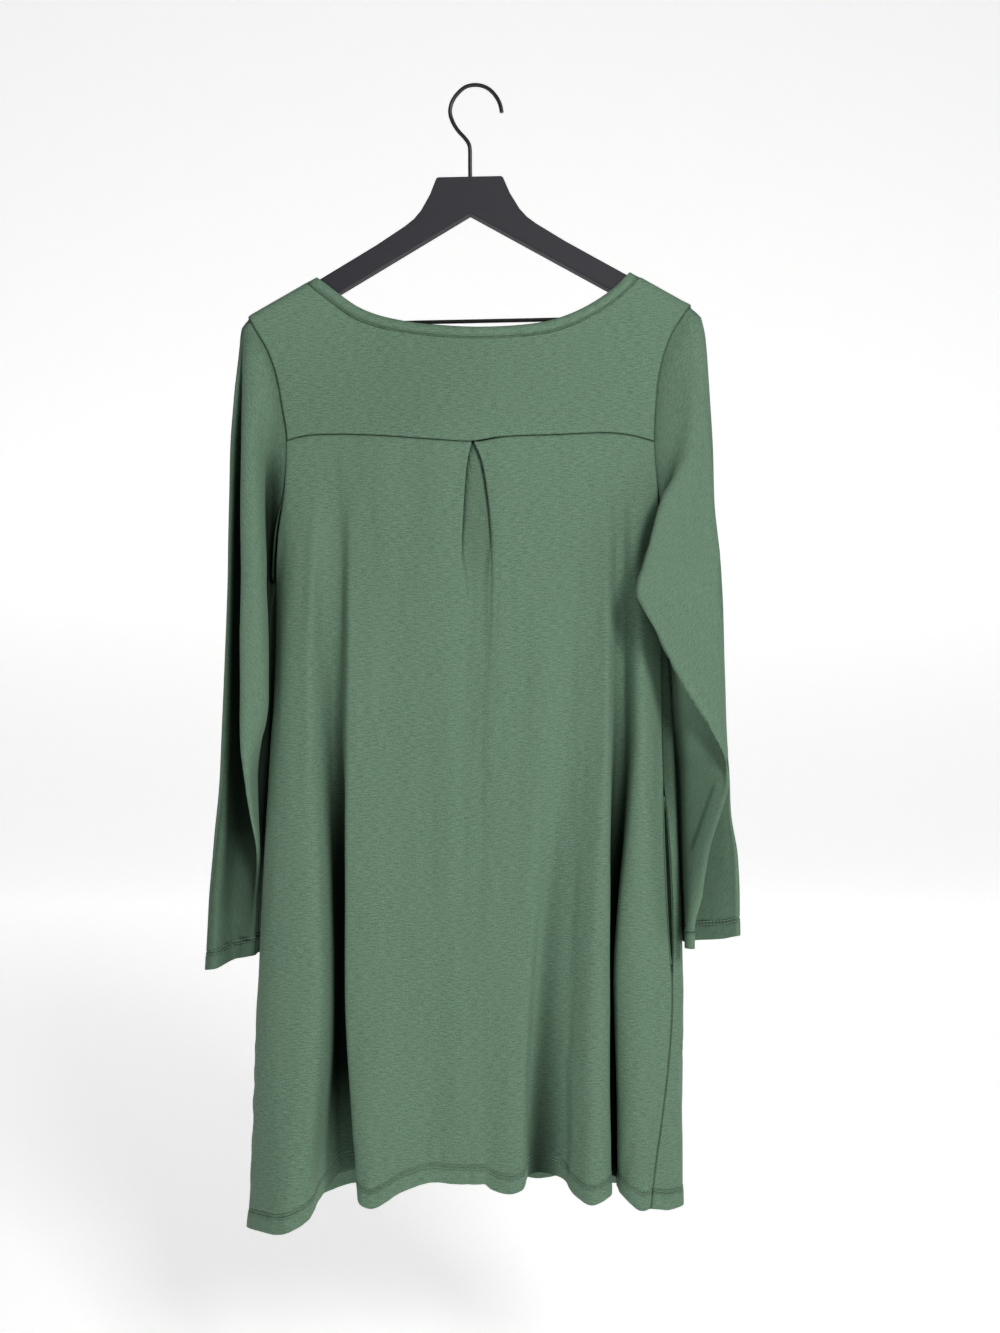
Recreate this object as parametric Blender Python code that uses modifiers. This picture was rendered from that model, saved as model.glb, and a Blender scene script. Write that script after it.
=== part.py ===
"""A long-sleeved swing dress on its hanger.

The dress hangs as it does on a wall: its back faces -Y, its front faces +Y, and the wearer's left
is at -X. The origin is the inside of the hook's crown, where the hanger is held. Sizes and places
are in millimetres and become metres where a mesh is made.
"""
import math

import bmesh
import bpy
import numpy as np
from mathutils import Matrix, Vector

MM = 0.001

# Cloth sizes
WALL = 1.5
SEAM_GAP = 0.3
SHOULDER_SEAM = 0.4
NECK_SEAM = 0.6
BAND_WALL = 1.8
BAND_TALL = 9.5

# Hanger sizes
HANGER_THICK = 13.0
HANGER_EDGE = 3.5
HANGER_CENTRE = -6.9
HANGER_ROLL = math.radians(1.2)
ARM_REACH = 206.0
WIRE_RADIUS = 1.95
BAR_RADIUS = 1.9
SOCKET_CLEARANCE = 0.35

# Where the cloth rolls over the hanger's arms, and how far it stands out from them lower down
RIDGE_RADIUS = 8.35
BACK_FULLNESS = 25.0
FRONT_FULLNESS = 13.0
FULLNESS_REACH = 215.0
FULLNESS_START = 40.0
FULLNESS_LENGTH = 200.0

# Shoulder tips and neck points, as x and z
LEFT_TIP = (-215.0, -219.0)
RIGHT_TIP = (205.0, -208.0)
LEFT_NECK = (-160.0, -187.0)
RIGHT_NECK = (156.5, -182.0)
NECK_SLOPE = 0.57

# Neck edges between the neck points, as x and z
BACK_NECKLINE = (
    (-155, -192), (-132, -210), (-116, -221), (-95, -230), (-62, -238), (-31, -242),
    (4, -244), (48, -241), (77, -235), (108, -222), (137, -203), (152, -188),
)
FRONT_NECK_DROP = 102.0

# Yoke seam across the back, as x and z
YOKE_SEAM = (
    (-177, -338), (-160, -334), (-137, -333), (-94, -335), (-37, -340), (-3, -342),
    (24, -338), (76, -335), (126, -332), (148, -334), (169, -339),
)

# Armholes, a row for each height, as z and the x of the left and right seams
ARMHOLE_LEFT = ((-219, -215), (-237, -205), (-253, -196), (-279, -187), (-305, -182), (-338, -177),
                (-380, -179), (-430, -186), (-469, -189))
ARMHOLE_RIGHT = ((-208, 205), (-219, 197), (-237, 186), (-262, 177), (-289, 172), (-339, 169),
                 (-381, 172), (-430, 175), (-462, 177))
UNDERARM_SHARE = 0.176

# Folds of the skirt. Shares are of the way from the yoke seam down to the hem.
WAIST_SHARE = 0.37
THIGH_SHARE = 0.73
FOLD_SHARES = (0.0, WAIST_SHARE, THIGH_SHARE, 1.0)

# Back folds, from the left side seam to the right one:
# name, x at yoke, waist, thigh and hem, y at waist, thigh and hem, z at hem
BACK_FOLDS = (
    ("left seam", -177, -189, -203, -210, 0, 2, 2, -1079),
    ("left edge", -173, -190, -204, -211, -12, -14, -20, -1074),
    ("left front", -167, -181, -193, -194, -25, -32, -46, -1067),
    ("left lobe", -155, -163, -170, -171, -32, -42, -64, -1062),
    ("left lobe end", -144, -149, -149, -153, -33, -40, -54, -1054),
    ("left wall", -137, -143, -139, -143, -25, -24, -26, -1042),
    ("left recess", -132, -135, -129, -127, -15, -8, -4, -1031),
    ("behind centre", -127, -127, -117, -105, -19, -16, -14, -1026),
    ("centre edge", -122, -120, -118, -106, -31, -34, -50, -1037),
    ("centre left", -110, -111, -107, -93, -34, -40, -60, -1041),
    ("centre rise", -83, -83, -80, -67, -33, -38, -48, -1031),
    ("centre flat", -53, -54, -52, -41, -33, -36, -38, -1026),
    ("pleat left", -31, -29, -24, -20, -34, -37, -38, -1027),
    ("pleat right", 28, 22, 18, 16, -34, -37, -40, -1031),
    ("centre dip", 52, 44, 37, 32, -33, -38, -44, -1034),
    ("centre right", 76, 66, 52, 45, -32, -35, -38, -1031),
    ("right wall", 91, 80, 63, 54, -27, -24, -18, -1025),
    ("right recess", 102, 92, 76, 72, -22, -12, -6, -1024),
    ("roll wall", 111, 104, 89, 87, -27, -20, -16, -1027),
    ("roll left", 117, 111, 97, 93, -32, -34, -40, -1035),
    ("roll crest", 123, 122, 110, 107, -34, -42, -52, -1040),
    ("roll right", 128, 132, 123, 123, -29, -34, -42, -1035),
    ("slit", 132, 138, 130, 131, -10, -6, -8, -1034),
    ("flap left", 137, 145, 136, 137, -27, -27, -40, -1035),
    ("flap crest", 150, 158, 153, 151, -30, -36, -54, -1045),
    ("right seam", 169, 177, 185, 161, -6, -20, -50, -1045),
)

# Front folds, from the right side seam to the left one, with the same columns
FRONT_FOLDS = (
    ("right seam", 169, 177, 185, 161, -6, -20, -50, -1045),
    ("right wrap", 167, 185, 194, 178, -2, -12, -42, -1049),
    ("right edge", 164, 187, 197, 194, 6, 1, -20, -1052),
    ("right turn", 160, 184, 193, 192, 14, 14, 6, -1053),
    ("right lobe", 144, 168, 176, 170, 20, 26, 32, -1050),
    ("right hollow", 121, 138, 140, 132, 18, 16, 12, -1046),
    ("inner right lobe", 98, 110, 106, 96, 21, 25, 34, -1044),
    ("inner right hollow", 72, 82, 74, 60, 19, 17, 14, -1042),
    ("centre lobe", 40, 46, 40, 26, 21, 24, 32, -1042),
    ("centre hollow", 4, 6, 0, -10, 20, 18, 14, -1042),
    ("inner left lobe", -34, -36, -42, -48, 21, 25, 33, -1044),
    ("inner left hollow", -72, -78, -82, -86, 19, 16, 12, -1048),
    ("left lobe", -108, -118, -122, -124, 21, 26, 36, -1056),
    ("left hollow", -136, -148, -156, -160, 18, 18, 18, -1064),
    ("left turn", -160, -176, -190, -196, 16, 20, 28, -1074),
    ("left back", -170, -188, -202, -209, 10, 14, 16, -1079),
    ("left seam", -177, -189, -203, -210, 0, 2, 2, -1079),
)
WIDE_SEGMENT = 19.0

# The inverted pleat, a row for each height: share down, centre x, half of its opening
PLEAT_ROWS = (
    (0.0, -2.0, 1.0), (0.02, -1.0, 5.0), (0.045, 0.0, 8.5), (0.09, 1.0, 12.5), (0.15, 2.0, 15.5),
    (0.22, 3.0, 15.0), (0.4, -1.0, 10.0), (1.0, -2.0, 8.0),
)
PLEAT_HALF_WIDTH = 25.0
PLEAT_PITCH = 2.6
PLEAT_END = 0.22
PLEAT_FLATTENS = (0.15, 0.20)
PLEAT_HEM_Z = -1027.0
PLEAT_FACE_DEPTHS = (32.6, 34.0, 37.0, 38.5)

# Rows down the pieces, as shares from the shoulder to the yoke line and from there to the hem
UPPER_ROWS = (0, 0.012, 0.035, 0.09, 0.24, 0.54, 1)
SKIRT_ROWS = (0, 0.04, 0.09, 0.135, UNDERARM_SHARE, 0.26, WAIST_SHARE, 0.46, 0.52, 0.585, 0.65, 0.71,
              0.84, 1)
SIDE_INFLUENCE = 5.0

# Columns of the upper pieces: how many lie outside each neck point, and steps in from it
YOKE_COLUMNS = 28
YOKE_SHOULDER_COLUMNS = (3, 3)
YOKE_NECK_STEPS = (1.2, 3.5, 7.5)
FRONT_SHOULDER_COLUMNS = (2, 4)
FRONT_NECK_STEPS = (1.2, 4.0)

# Pocket mouths, as shares of the side seam, and pocket bags
MOUTH_TOP = 0.46
MOUTH_BOTTOM = 0.71
MOUTH_GAPE = 8.0
BAG_WALL = 1.0
BAG_DROP = 60.0
BAG_MIDDLE_Y = 2.5
BAG_SIDES = 12
# Bag rings from the mouth inwards: reach into the dress, height against the mouth, half thickness
BAG_RINGS = ((1.4, 0.88, 3.3), (14.0, 0.95, 4.2), (38.0, 1.05, 4.4), (78.0, 1.12, 4.4), (104.0, 1.0, 4.2),
             (116.0, 0.75, 2.6))

# Left sleeve sections, outer edge first:
# z, outer x and y, crease x and y, crest x and y, side x and y, inner x, far y
LEFT_SLEEVE = (
    (-219, -217, 0, -217, -2, -216, -3, -216, -4, -215, 3),
    (-234, -222, 0, -221, -5, -217, -9, -213, -10, -208, 9),
    (-255, -224, 1, -221, -6, -215, -15, -207, -15, -198, 11),
    (-340, -232, 3, -224, -4, -216, -30, -199, -27, -186, 16),
    (-415, -234, 3, -214, 4, -214, -39, -193, -36, -190, 20),
    (-490, -235, 2, -204, 9, -214, -44, -191, -41, -195, 22),
    (-580, -239, 1, -203, 11, -214, -46, -190, -42, -196, 24),
    (-655, -243, 0, -206, 11, -211, -38, -199, -36, -198, 24),
    (-720, -248, -2, -214, 10, -209, -18, -204, -14, -202, 24),
    (-770, -250, -7, -227, 8, -211, -4, -208, 0, -206, 24),
    (-830, -252, -12, -229, 8, -213, 2, -209, 6, -208, 25),
)
LEFT_CUFF = (-838, -824)

# Right sleeve sections, outer edge first:
# z, outer x and y, ridge x and y, edge x and y, step x and y, side x and y, inner x, far y
RIGHT_SLEEVE = (
    (-208, 207, 0, 207, -2, 206, -3, 206, -3, 205, -3, 205, 3),
    (-221, 215, 0, 213, -6, 208, -10, 203, -11, 199, -10, 197, 9),
    (-240, 219, 0, 214, -10, 207, -14, 198, -14, 191, -12, 188, 11),
    (-340, 225, 2, 218, -20, 202, -29, 190, -26, 178, -19, 175, 16),
    (-396, 227, 3, 221, -26, 184, -38, 174, -30, 180, -18, 178, 18),
    (-481, 231, 4, 227, -28, 147, -62, 152, -50, 178, -40, 183, 20),
    (-544, 235, 4, 230, -28, 177, -58, 181, -44, 186, -30, 189, 21),
    (-619, 238, 4, 234, -28, 222, -48, 224, -30, 192, -22, 191, 21),
    (-651, 241, 4, 237, -18, 235, -30, 227, -30, 193, -22, 192, 21),
    (-688, 243, 4, 234, -8, 228, -28, 212, -26, 195, -20, 195, 21),
    (-730, 249, 4, 221, -9, 216, -32, 200, -30, 196, -22, 198, 22),
    (-786, 251, 2, 212, -12, 205, -38, 197, -37, 196, -30, 201, 22),
    (-812, 251, 2, 213, -12, 205, -42, 197, -42, 196, -34, 203, 22),
)
RIGHT_CUFF = (-818, -812)
SLEEVE_ROWS = (0, 0.02, 0.07, 0.14, 0.22, 0.31, 0.41, 0.51, 0.61, 0.71, 0.81, 0.91, 1)
SHOULDER_GAP = 1.4
UNDERARM_GAP = 3.6

# Hook wire, as x and z along its centre from the tip to the stem's foot
HOOK_ROUTE = (
    (25.4, -24.2), (23.8, -16.5), (20.3, -9.5), (14.6, -3.0), (7.7, 0.8), (0.0, 1.95), (-7.7, 0.6),
    (-14.2, -3.8), (-20.8, -12.1), (-23.7, -21.7), (-22.2, -30.6), (-17.0, -40.3), (-9.4, -48.8),
    (-5.8, -54.3), (-4.8, -60.4), (-4.7, -72.0), (-4.6, -84.0), (-4.5, -100.0),
)

# Right half of the hanger's outline, as distance from its centre and z, from the top round to the crotch
ARM_OUTLINE = (
    (0, -87), (29.5, -87), (31.5, -88), (33.2, -92), (38, -103.5), (46.5, -118), (53.5, -126),
    (62, -132.5), (89, -149.7), (118, -166.5), (147, -183.2), (180, -201), (ARM_REACH - 6, -215),
    (ARM_REACH - 1.5, -220), (ARM_REACH, -227), (ARM_REACH - 3, -234), (ARM_REACH - 9, -235), (0, -121.8),
)
BAR_HEIGHT = -222.5
BAR_HALF_LENGTH = 193.0

GREEN = (0.135, 0.235, 0.165, 1)
GREEN_INSIDE = (0.12, 0.21, 0.15, 1)
CHARCOAL = (0.032, 0.031, 0.035, 1)
BLACK = (0.012, 0.012, 0.013, 1)


# Curves and surfaces

def through(knots, values, at):
    """A smooth curve through values at rising knots that never swings past them."""
    knots = np.asarray(knots, float)
    values = np.asarray(values, float)
    steps = np.diff(knots)
    slopes = np.diff(values) / steps
    tangents = np.empty(len(knots))
    tangents[0] = slopes[0]
    tangents[-1] = slopes[-1]
    for i in range(1, len(knots) - 1):
        before, after = slopes[i - 1], slopes[i]
        same_way = before * after > 0
        tangents[i] = 2 * before * after / (before + after) if same_way else 0.0
    i = int(np.clip(np.searchsorted(knots, at, side="right") - 1, 0, len(steps) - 1))
    t = min(max((at - knots[i]) / steps[i], 0.0), 1.0)
    start = (1 + 2 * t) * (1 - t) ** 2 * values[i] + t * (1 - t) ** 2 * steps[i] * tangents[i]
    end = t * t * (3 - 2 * t) * values[i + 1] + t * t * (t - 1) * steps[i] * tangents[i + 1]
    return start + end


def line_at(points, x):
    """Height at x of a line given as x and z."""
    xs, zs = zip(*points)
    return float(np.interp(x, xs, zs))


def eased(share):
    share = min(max(share, 0.0), 1.0)
    return share * share * (3 - 2 * share)


def unit(vector):
    return vector / np.linalg.norm(vector)


def rounded(points, each=6):
    """Points of a Catmull-Rom curve through the corners of a section."""
    points = np.asarray(points, float)
    points = np.vstack([2 * points[0] - points[1], points, 2 * points[-1] - points[-2]])
    curve = []
    for before, start, end, after in zip(points, points[1:], points[2:], points[3:]):
        for k in range(each):
            t = k / each
            bend = 2 * before - 5 * start + 4 * end - after
            twist = -before + 3 * start - 3 * end + after
            curve.append(0.5 * (2 * start + (end - before) * t + bend * t * t + twist * t ** 3))
    curve.append(points[-2])
    return np.array(curve)


def path_lengths(curve):
    return np.concatenate([[0], np.cumsum(np.linalg.norm(np.diff(curve, axis=0), axis=1))])


def point_at(curve, length):
    lengths = path_lengths(curve)
    return np.array([np.interp(length, lengths, curve[:, k]) for k in range(curve.shape[1])])


def along(curve, share):
    """The point a share of the way along a curve."""
    return point_at(curve, share * path_lengths(curve)[-1])


def ridge_height(x):
    """Height of the cloth's fold over the arms, carried on as a slope above the neck opening."""
    if x < LEFT_NECK[0]:
        return line_at((LEFT_TIP, LEFT_NECK), x)
    if x > RIGHT_NECK[0]:
        return line_at((RIGHT_NECK, RIGHT_TIP), x)
    if x < 0:
        return LEFT_NECK[1] + NECK_SLOPE * (x - LEFT_NECK[0])
    return RIGHT_NECK[1] + NECK_SLOPE * (RIGHT_NECK[0] - x)


def upper_depth(x, z, fullness):
    """How far the cloth above the yoke line stands from the hanger's middle plane."""
    drop = max(ridge_height(x) - z, 0.0)
    roll = RIDGE_RADIUS * math.sqrt(1 - (1 - min(drop / RIDGE_RADIUS, 1)) ** 2)
    spread = fullness * max(1 - (x / FULLNESS_REACH) ** 2, 0.0)
    return roll + spread * eased((drop - FULLNESS_START) / FULLNESS_LENGTH)


def yoke_line_on(armhole):
    """Height at which the yoke line meets an armhole."""
    return YOKE_SEAM[0][1] if armhole is ARMHOLE_LEFT else YOKE_SEAM[-1][1]


def armhole_point(armhole, share, way, fullness):
    """A point of an armhole seam: 0 at the shoulder tip, 1 at the yoke line, 2 at the underarm."""
    depths_down = [-z for z, x in armhole]
    places = [x for z, x in armhole]
    yoke_z = yoke_line_on(armhole)
    if share <= 1:
        z = armhole[0][0] + (yoke_z - armhole[0][0]) * share
        x = through(depths_down, places, -z)
        depth = upper_depth(x, z, fullness)
    else:
        z = yoke_z + (armhole[-1][0] - yoke_z) * (share - 1)
        x = through(depths_down, places, -z)
        yoke_x = through(depths_down, places, -yoke_z)
        depth = upper_depth(yoke_x, yoke_z, fullness) * math.sqrt(max(1 - (share - 1) ** 2, 0.0))
    return np.array([x, way * depth, z])


def patch(top, bottom, left, right, rows):
    """A grid between a top and a bottom line of points that bends along two side edges near them."""
    top = np.array(top)
    bottom = np.array(bottom)
    across = np.linspace(0, 1, len(top))
    by_left = np.array([[eased(1 - SIDE_INFLUENCE * a)] for a in across])
    by_right = by_left[::-1]
    grid = []
    for r in rows:
        straight = (1 - r) * top + r * bottom
        grid.append(straight + by_left * (left(r) - straight[0]) + by_right * (right(r) - straight[-1]))
    return np.array(grid)


def top_points(neckline, count, outside, steps):
    """Points along the shoulder lines and the neck edge from tip to tip, one on each neck point."""
    curve = np.array([LEFT_TIP, LEFT_NECK, *neckline, RIGHT_NECK, RIGHT_TIP], float)
    lengths = path_lengths(curve)
    left, right, end = lengths[1], lengths[-2], lengths[-1]
    left_part = [*np.linspace(0, left, outside[0] + 1), *(left + step for step in steps)]
    right_part = [*(right - step for step in steps[::-1]), *np.linspace(right, end, outside[1] + 1)]
    between = count - len(left_part) - len(right_part)
    middle_part = np.linspace(left_part[-1], right_part[0], between + 2)[1:-1]
    return [point_at(curve, length) for length in (*left_part, *middle_part, *right_part)]


def front_neckline():
    """The front neck edge, a scoop below the neck points."""
    half = (RIGHT_NECK[0] - LEFT_NECK[0]) / 2
    middle = (RIGHT_NECK[0] + LEFT_NECK[0]) / 2
    top = (LEFT_NECK[1] + RIGHT_NECK[1]) / 2
    points = []
    for step in range(1, 14):
        angle = math.pi * step / 14
        drop = FRONT_NECK_DROP * math.sin(angle) ** 1.25
        points.append((middle - half * math.cos(angle), top - drop))
    return points


def upper_grid(top, bottom, way, fullness):
    """The cloth from the shoulders and neck edge down to a line of points, with its depth."""
    flat = patch(top, bottom,
                 lambda r: armhole_point(ARMHOLE_LEFT, r, way, fullness)[[0, 2]],
                 lambda r: armhole_point(ARMHOLE_RIGHT, r, way, fullness)[[0, 2]], UPPER_ROWS)
    return np.array([[(x, way * (upper_depth(x, z, fullness) + SHOULDER_SEAM), z) for x, z in row]
                     for row in flat])


# Skirt folds

def fold_point(fold, share, way, fullness):
    """Place of one fold a share of the way from the yoke seam to the hem."""
    name, x_yoke, x_waist, x_thigh, x_hem, y_waist, y_thigh, y_hem, z_hem = fold
    armhole = ARMHOLE_LEFT if name == "left seam" else ARMHOLE_RIGHT
    if name.endswith("seam"):
        seam = armhole_point(armhole, 1 + min(share / UNDERARM_SHARE, 1), way, fullness)
        if share <= UNDERARM_SHARE:
            return seam
        knots = (UNDERARM_SHARE, WAIST_SHARE, THIGH_SHARE, 1.0)
        x = through(knots, (seam[0], x_waist, x_thigh, x_hem), share)
        y = through(knots, (0.0, y_waist, y_thigh, y_hem), share)
        below = (share - UNDERARM_SHARE) / (1 - UNDERARM_SHARE)
        return np.array([x, y, seam[2] + (z_hem - seam[2]) * below])
    z_yoke = line_at(YOKE_SEAM, x_yoke)
    y_yoke = way * upper_depth(x_yoke, z_yoke, fullness)
    x = through(FOLD_SHARES, (x_yoke, x_waist, x_thigh, x_hem), share)
    y = through(FOLD_SHARES, (y_yoke, y_waist, y_thigh, y_hem), share)
    return np.array([x, y, z_yoke + (z_hem - z_yoke) * share])


def pleat_points(share):
    """The inverted pleat between the two pleat folds: each side turns under, then out again."""
    shares, centres, openings = zip(*PLEAT_ROWS)
    centre = through(shares, centres, share)
    face = through(shares, openings, share)
    under = 1 - eased(share / PLEAT_END)
    start, length = PLEAT_FLATTENS
    pitch = PLEAT_PITCH * (1 - eased((share - start) / length))
    z_yoke = line_at(YOKE_SEAM, centre)
    z = z_yoke + (PLEAT_HEM_Z - z_yoke) * share
    y_face = -through(FOLD_SHARES, PLEAT_FACE_DEPTHS, share)
    turned = np.array([face + 4, face, face, PLEAT_HALF_WIDTH, PLEAT_HALF_WIDTH])
    opened = face * np.array([1, 1, 0.8, 0.6, 0.3]) + np.array([4, 0, 0, 0, 0])
    across = opened + (turned - opened) * under
    depths = y_face + pitch * np.array([0, 0, 1, 1, 2])
    left = [(centre - a, y, z) for a, y in zip(across, depths)]
    right = [(centre + a, y, z) for a, y in zip(across, depths)]
    return [*left, (centre, depths[-1], z), *right[::-1]]


def section_corners(folds, share, way, fullness):
    corners = []
    for fold in folds:
        corners.append(fold_point(fold, share, way, fullness))
        if fold[0] == "pleat left":
            corners += pleat_points(share)
    return np.array(corners)


def widened(corner_rows):
    """Adds a rounded mid point to each wide segment, the same ones in every row."""
    hem = corner_rows[-1]
    wide = np.linalg.norm(np.diff(hem, axis=0), axis=1) > WIDE_SEGMENT
    rows = []
    for corners in corner_rows:
        smooth = rounded(corners, each=2)
        kept = [smooth[0]]
        for i, is_wide in enumerate(wide):
            if is_wide:
                kept.append(smooth[2 * i + 1])
            kept.append(smooth[2 * i + 2])
        rows.append(kept)
    return np.array(rows)


def skirt_grid(folds, way, fullness):
    return widened([section_corners(folds, share, way, fullness) for share in SKIRT_ROWS])


def seam_gap(share):
    """The gap at a side seam, wider at the pocket mouth."""
    inside = (share - MOUTH_TOP) / (MOUTH_BOTTOM - MOUTH_TOP)
    gape = MOUTH_GAPE * math.sin(math.pi * inside) ** 0.7 if 0 < inside < 1 else 0.0
    return SEAM_GAP + gape


def drawn_back(grid, edge, beside, steps):
    """Moves an edge column towards the one beside it by a step for each row."""
    for row, step in zip(grid, steps):
        row[edge] += unit(row[beside] - row[edge]) * step


def skirts():
    """The back panel and the front's part below the yoke line, drawn back from their side seams."""
    back = skirt_grid(BACK_FOLDS, -1, BACK_FULLNESS)
    front = skirt_grid(FRONT_FOLDS, 1, FRONT_FULLNESS)[:, ::-1]
    for edge, beside in ((0, 1), (-1, -2)):
        steps = []
        for share, back_row, front_row in zip(SKIRT_ROWS, back, front):
            if share < UNDERARM_SHARE:
                steps.append(SEAM_GAP / 2)
                continue
            seam = back_row[edge]
            cosine = unit(back_row[beside] - seam) @ unit(front_row[beside] - seam)
            walls_apart = WALL / 2 / math.tan(math.acos(cosine) / 2)
            steps.append(seam_gap(share) / 2 + walls_apart)
        drawn_back(back, edge, beside, steps)
        drawn_back(front, edge, beside, steps)
    back[0, :, 2] -= SEAM_GAP
    return back, front


# Meshes

def material(name, colour, roughness):
    made = bpy.data.materials.new(name)
    made.use_nodes = True
    shader = made.node_tree.nodes["Principled BSDF"]
    shader.inputs["Base Color"].default_value = colour
    shader.inputs["Roughness"].default_value = roughness
    shader.inputs["Metallic"].default_value = 0.0
    return made


def new_object(name, mesh, finish):
    made = bpy.data.objects.new(name, mesh)
    made.data.materials.append(finish)
    garment.objects.link(made)
    return made


def walled(made, thickness):
    shell = made.modifiers.new("wall", "SOLIDIFY")
    shell.thickness = thickness * MM
    shell.offset = 0.0


def cloth(name, grid, finish, tube=False, wall=WALL):
    """A grid of points in millimetres as cloth with an even wall."""
    rows, columns = grid.shape[:2]
    work = bmesh.new()
    bmesh.ops.create_grid(work, x_segments=columns - 1, y_segments=rows - 1, size=1)
    work.verts.ensure_lookup_table()
    for vertex, place in zip(work.verts, grid.reshape(-1, 3)):
        vertex.co = Vector(place * MM)
    if tube:
        bmesh.ops.remove_doubles(work, verts=work.verts, dist=1e-6)
    mesh = bpy.data.meshes.new(name)
    work.to_mesh(mesh)
    work.free()
    mesh.shade_smooth()
    walled(new_object(name, mesh, finish), wall)


def yoke():
    seam = np.array(YOKE_SEAM, float)
    bottom = [along(seam, share) for share in np.linspace(0, 1, YOKE_COLUMNS)]
    top = top_points(BACK_NECKLINE, YOKE_COLUMNS, YOKE_SHOULDER_COLUMNS, YOKE_NECK_STEPS)
    grid = upper_grid(top, bottom, -1, BACK_FULLNESS)
    grid[:, 0, 0] += SEAM_GAP / 2
    grid[:, -1, 0] -= SEAM_GAP / 2
    grid[-1, :, 2] += SEAM_GAP
    return grid


def front_panel(skirt):
    top = top_points(front_neckline(), skirt.shape[1], FRONT_SHOULDER_COLUMNS, FRONT_NECK_STEPS)
    grid = upper_grid(top, skirt[0][:, [0, 2]], 1, FRONT_FULLNESS)
    grid[:-1, 0, 0] += SEAM_GAP / 2
    grid[:-1, -1, 0] -= SEAM_GAP / 2
    return np.concatenate([grid[:-1], skirt])


# Sleeves

def section_at(table, z):
    heights = [-row[0] for row in table]
    return [through(heights, [row[k] for row in table], -z) for k in range(1, len(table[0]))]


def seam_end(armhole, z, way, fullness):
    """Place on an armhole seam at a height, and at its underarm below that."""
    top, bottom = armhole[0][0], armhole[-1][0]
    yoke_z = yoke_line_on(armhole)
    if z > yoke_z:
        share = (z - top) / (yoke_z - top)
    else:
        share = 1 + min((z - yoke_z) / (bottom - yoke_z), 1)
    return armhole_point(armhole, share, way, fullness)[:2]


def near_and_far(table, armhole, z):
    """The near and far halves of a sleeve section, both from the outer edge to the inner one."""
    *corners, inner_x, far_y = section_at(table, z)
    corners = np.array(corners).reshape(-1, 2)
    outer = corners[0]
    below = eased((armhole[-1][0] - z) / 35.0)
    inner = np.array([inner_x, 0.0])
    near_end = seam_end(armhole, z, -1, BACK_FULLNESS) * (1 - below) + inner * below
    far_end = seam_end(armhole, z, 1, FRONT_FULLNESS) * (1 - below) + inner * below
    far_corners = [outer]
    for across, depth in ((0.25, 0.85), (0.5, 1.0), (0.8, 0.9)):
        x = outer[0] + (far_end[0] - outer[0]) * across
        far_corners.append((x, far_y * depth))
    return rounded([*corners, near_end]), rounded([*far_corners, far_end])


def armhole_shares():
    """Steps down an armhole, the same as the panels' rows beside it."""
    skirt = [1 + share / UNDERARM_SHARE for share in SKIRT_ROWS if share <= UNDERARM_SHARE]
    return [*UPPER_ROWS[:-1], *skirt]


def sleeve(table, armhole, cuff, side):
    """A sleeve as rings that start on the armhole and end at the cuff."""
    shares = armhole_shares()
    top, bottom = armhole[0][0], armhole[-1][0]
    half_ring = [(i, share) for i, share in enumerate(shares)]
    ring = [(i, share, -1, BACK_FULLNESS) for i, share in half_ring]
    ring += [(i, share, 1, FRONT_FULLNESS) for i, share in half_ring[-2::-1]]
    grid = []
    for t in SLEEVE_ROWS:
        line = []
        for i, share, way, fullness in ring:
            start = armhole_point(armhole, share, way, fullness)
            seam_allowed = (UNDERARM_GAP - SHOULDER_GAP) * eased((share - 0.8) / 0.8)
            start[0] += side * (SHOULDER_GAP + seam_allowed)
            cuff_z = cuff[0] + (cuff[1] - cuff[0]) * i / (len(shares) - 1)
            z = start[2] + (cuff_z - start[2]) * t
            near, far = near_and_far(table, armhole, z)
            reach = min((z - top) / (bottom - top), 1.0)
            on_seam = (start[2] - top) / (bottom - top) / max(reach, 1e-6)
            evenly = i / (len(shares) - 1)
            across = on_seam + (evenly - on_seam) * eased(t / 0.3)
            place = along(near if way < 0 else far, min(across, 1.0))
            leave = eased(t / 0.06)
            x = start[0] + (place[0] - start[0]) * leave
            y = start[1] + (place[1] - start[1]) * leave
            line.append((x, y, z))
        grid.append(line)
    return np.array(grid)


# Neckband

def neckband(yoke_grid, front_grid):
    """A strip round the neck: its lower edge on the neck seam, its upper edge above and inside it."""
    back = yoke_grid[0, YOKE_SHOULDER_COLUMNS[0]:-YOKE_SHOULDER_COLUMNS[1]]
    front = front_grid[0, FRONT_SHOULDER_COLUMNS[0]:-FRONT_SHOULDER_COLUMNS[1]][::-1]
    edge = np.concatenate([back, front[1:-1]])
    neck_points = (0, len(back) - 1)
    for i in neck_points:
        edge[i, 1] = 0.0
    lines = [[], [], []]
    for i, place in enumerate(edge):
        tangent = unit(edge[(i + 1) % len(edge)] - edge[i - 1])
        turn = 1 if i <= neck_points[1] else -1
        over_opening = np.array([-tangent[2], 0, tangent[0]]) * turn
        nearest = min(neck_points, key=lambda n: np.linalg.norm(edge[n] - place))
        over_arm = np.array([1 if nearest == 0 else -1, 0, NECK_SLOPE])
        away = eased((np.linalg.norm(edge[nearest] - place) - 4) / 20)
        rise = unit(unit(over_arm) * (1 - away) + over_opening * away)
        across_seam = max(np.linalg.norm(np.cross(rise, tangent)), 0.5)
        for line, height in zip(lines, (NECK_SEAM / across_seam, BAND_TALL / 2, BAND_TALL)):
            line.append(place + rise * height)
    grid = np.array(lines)
    return np.concatenate([grid, grid[:, :1]], axis=1)


# Pockets

def on_column(grid, column, share):
    """Place on a column of a skirt grid at a share of the way down."""
    return np.array([np.interp(share, SKIRT_ROWS, grid[:, column, k]) for k in range(3)])


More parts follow.
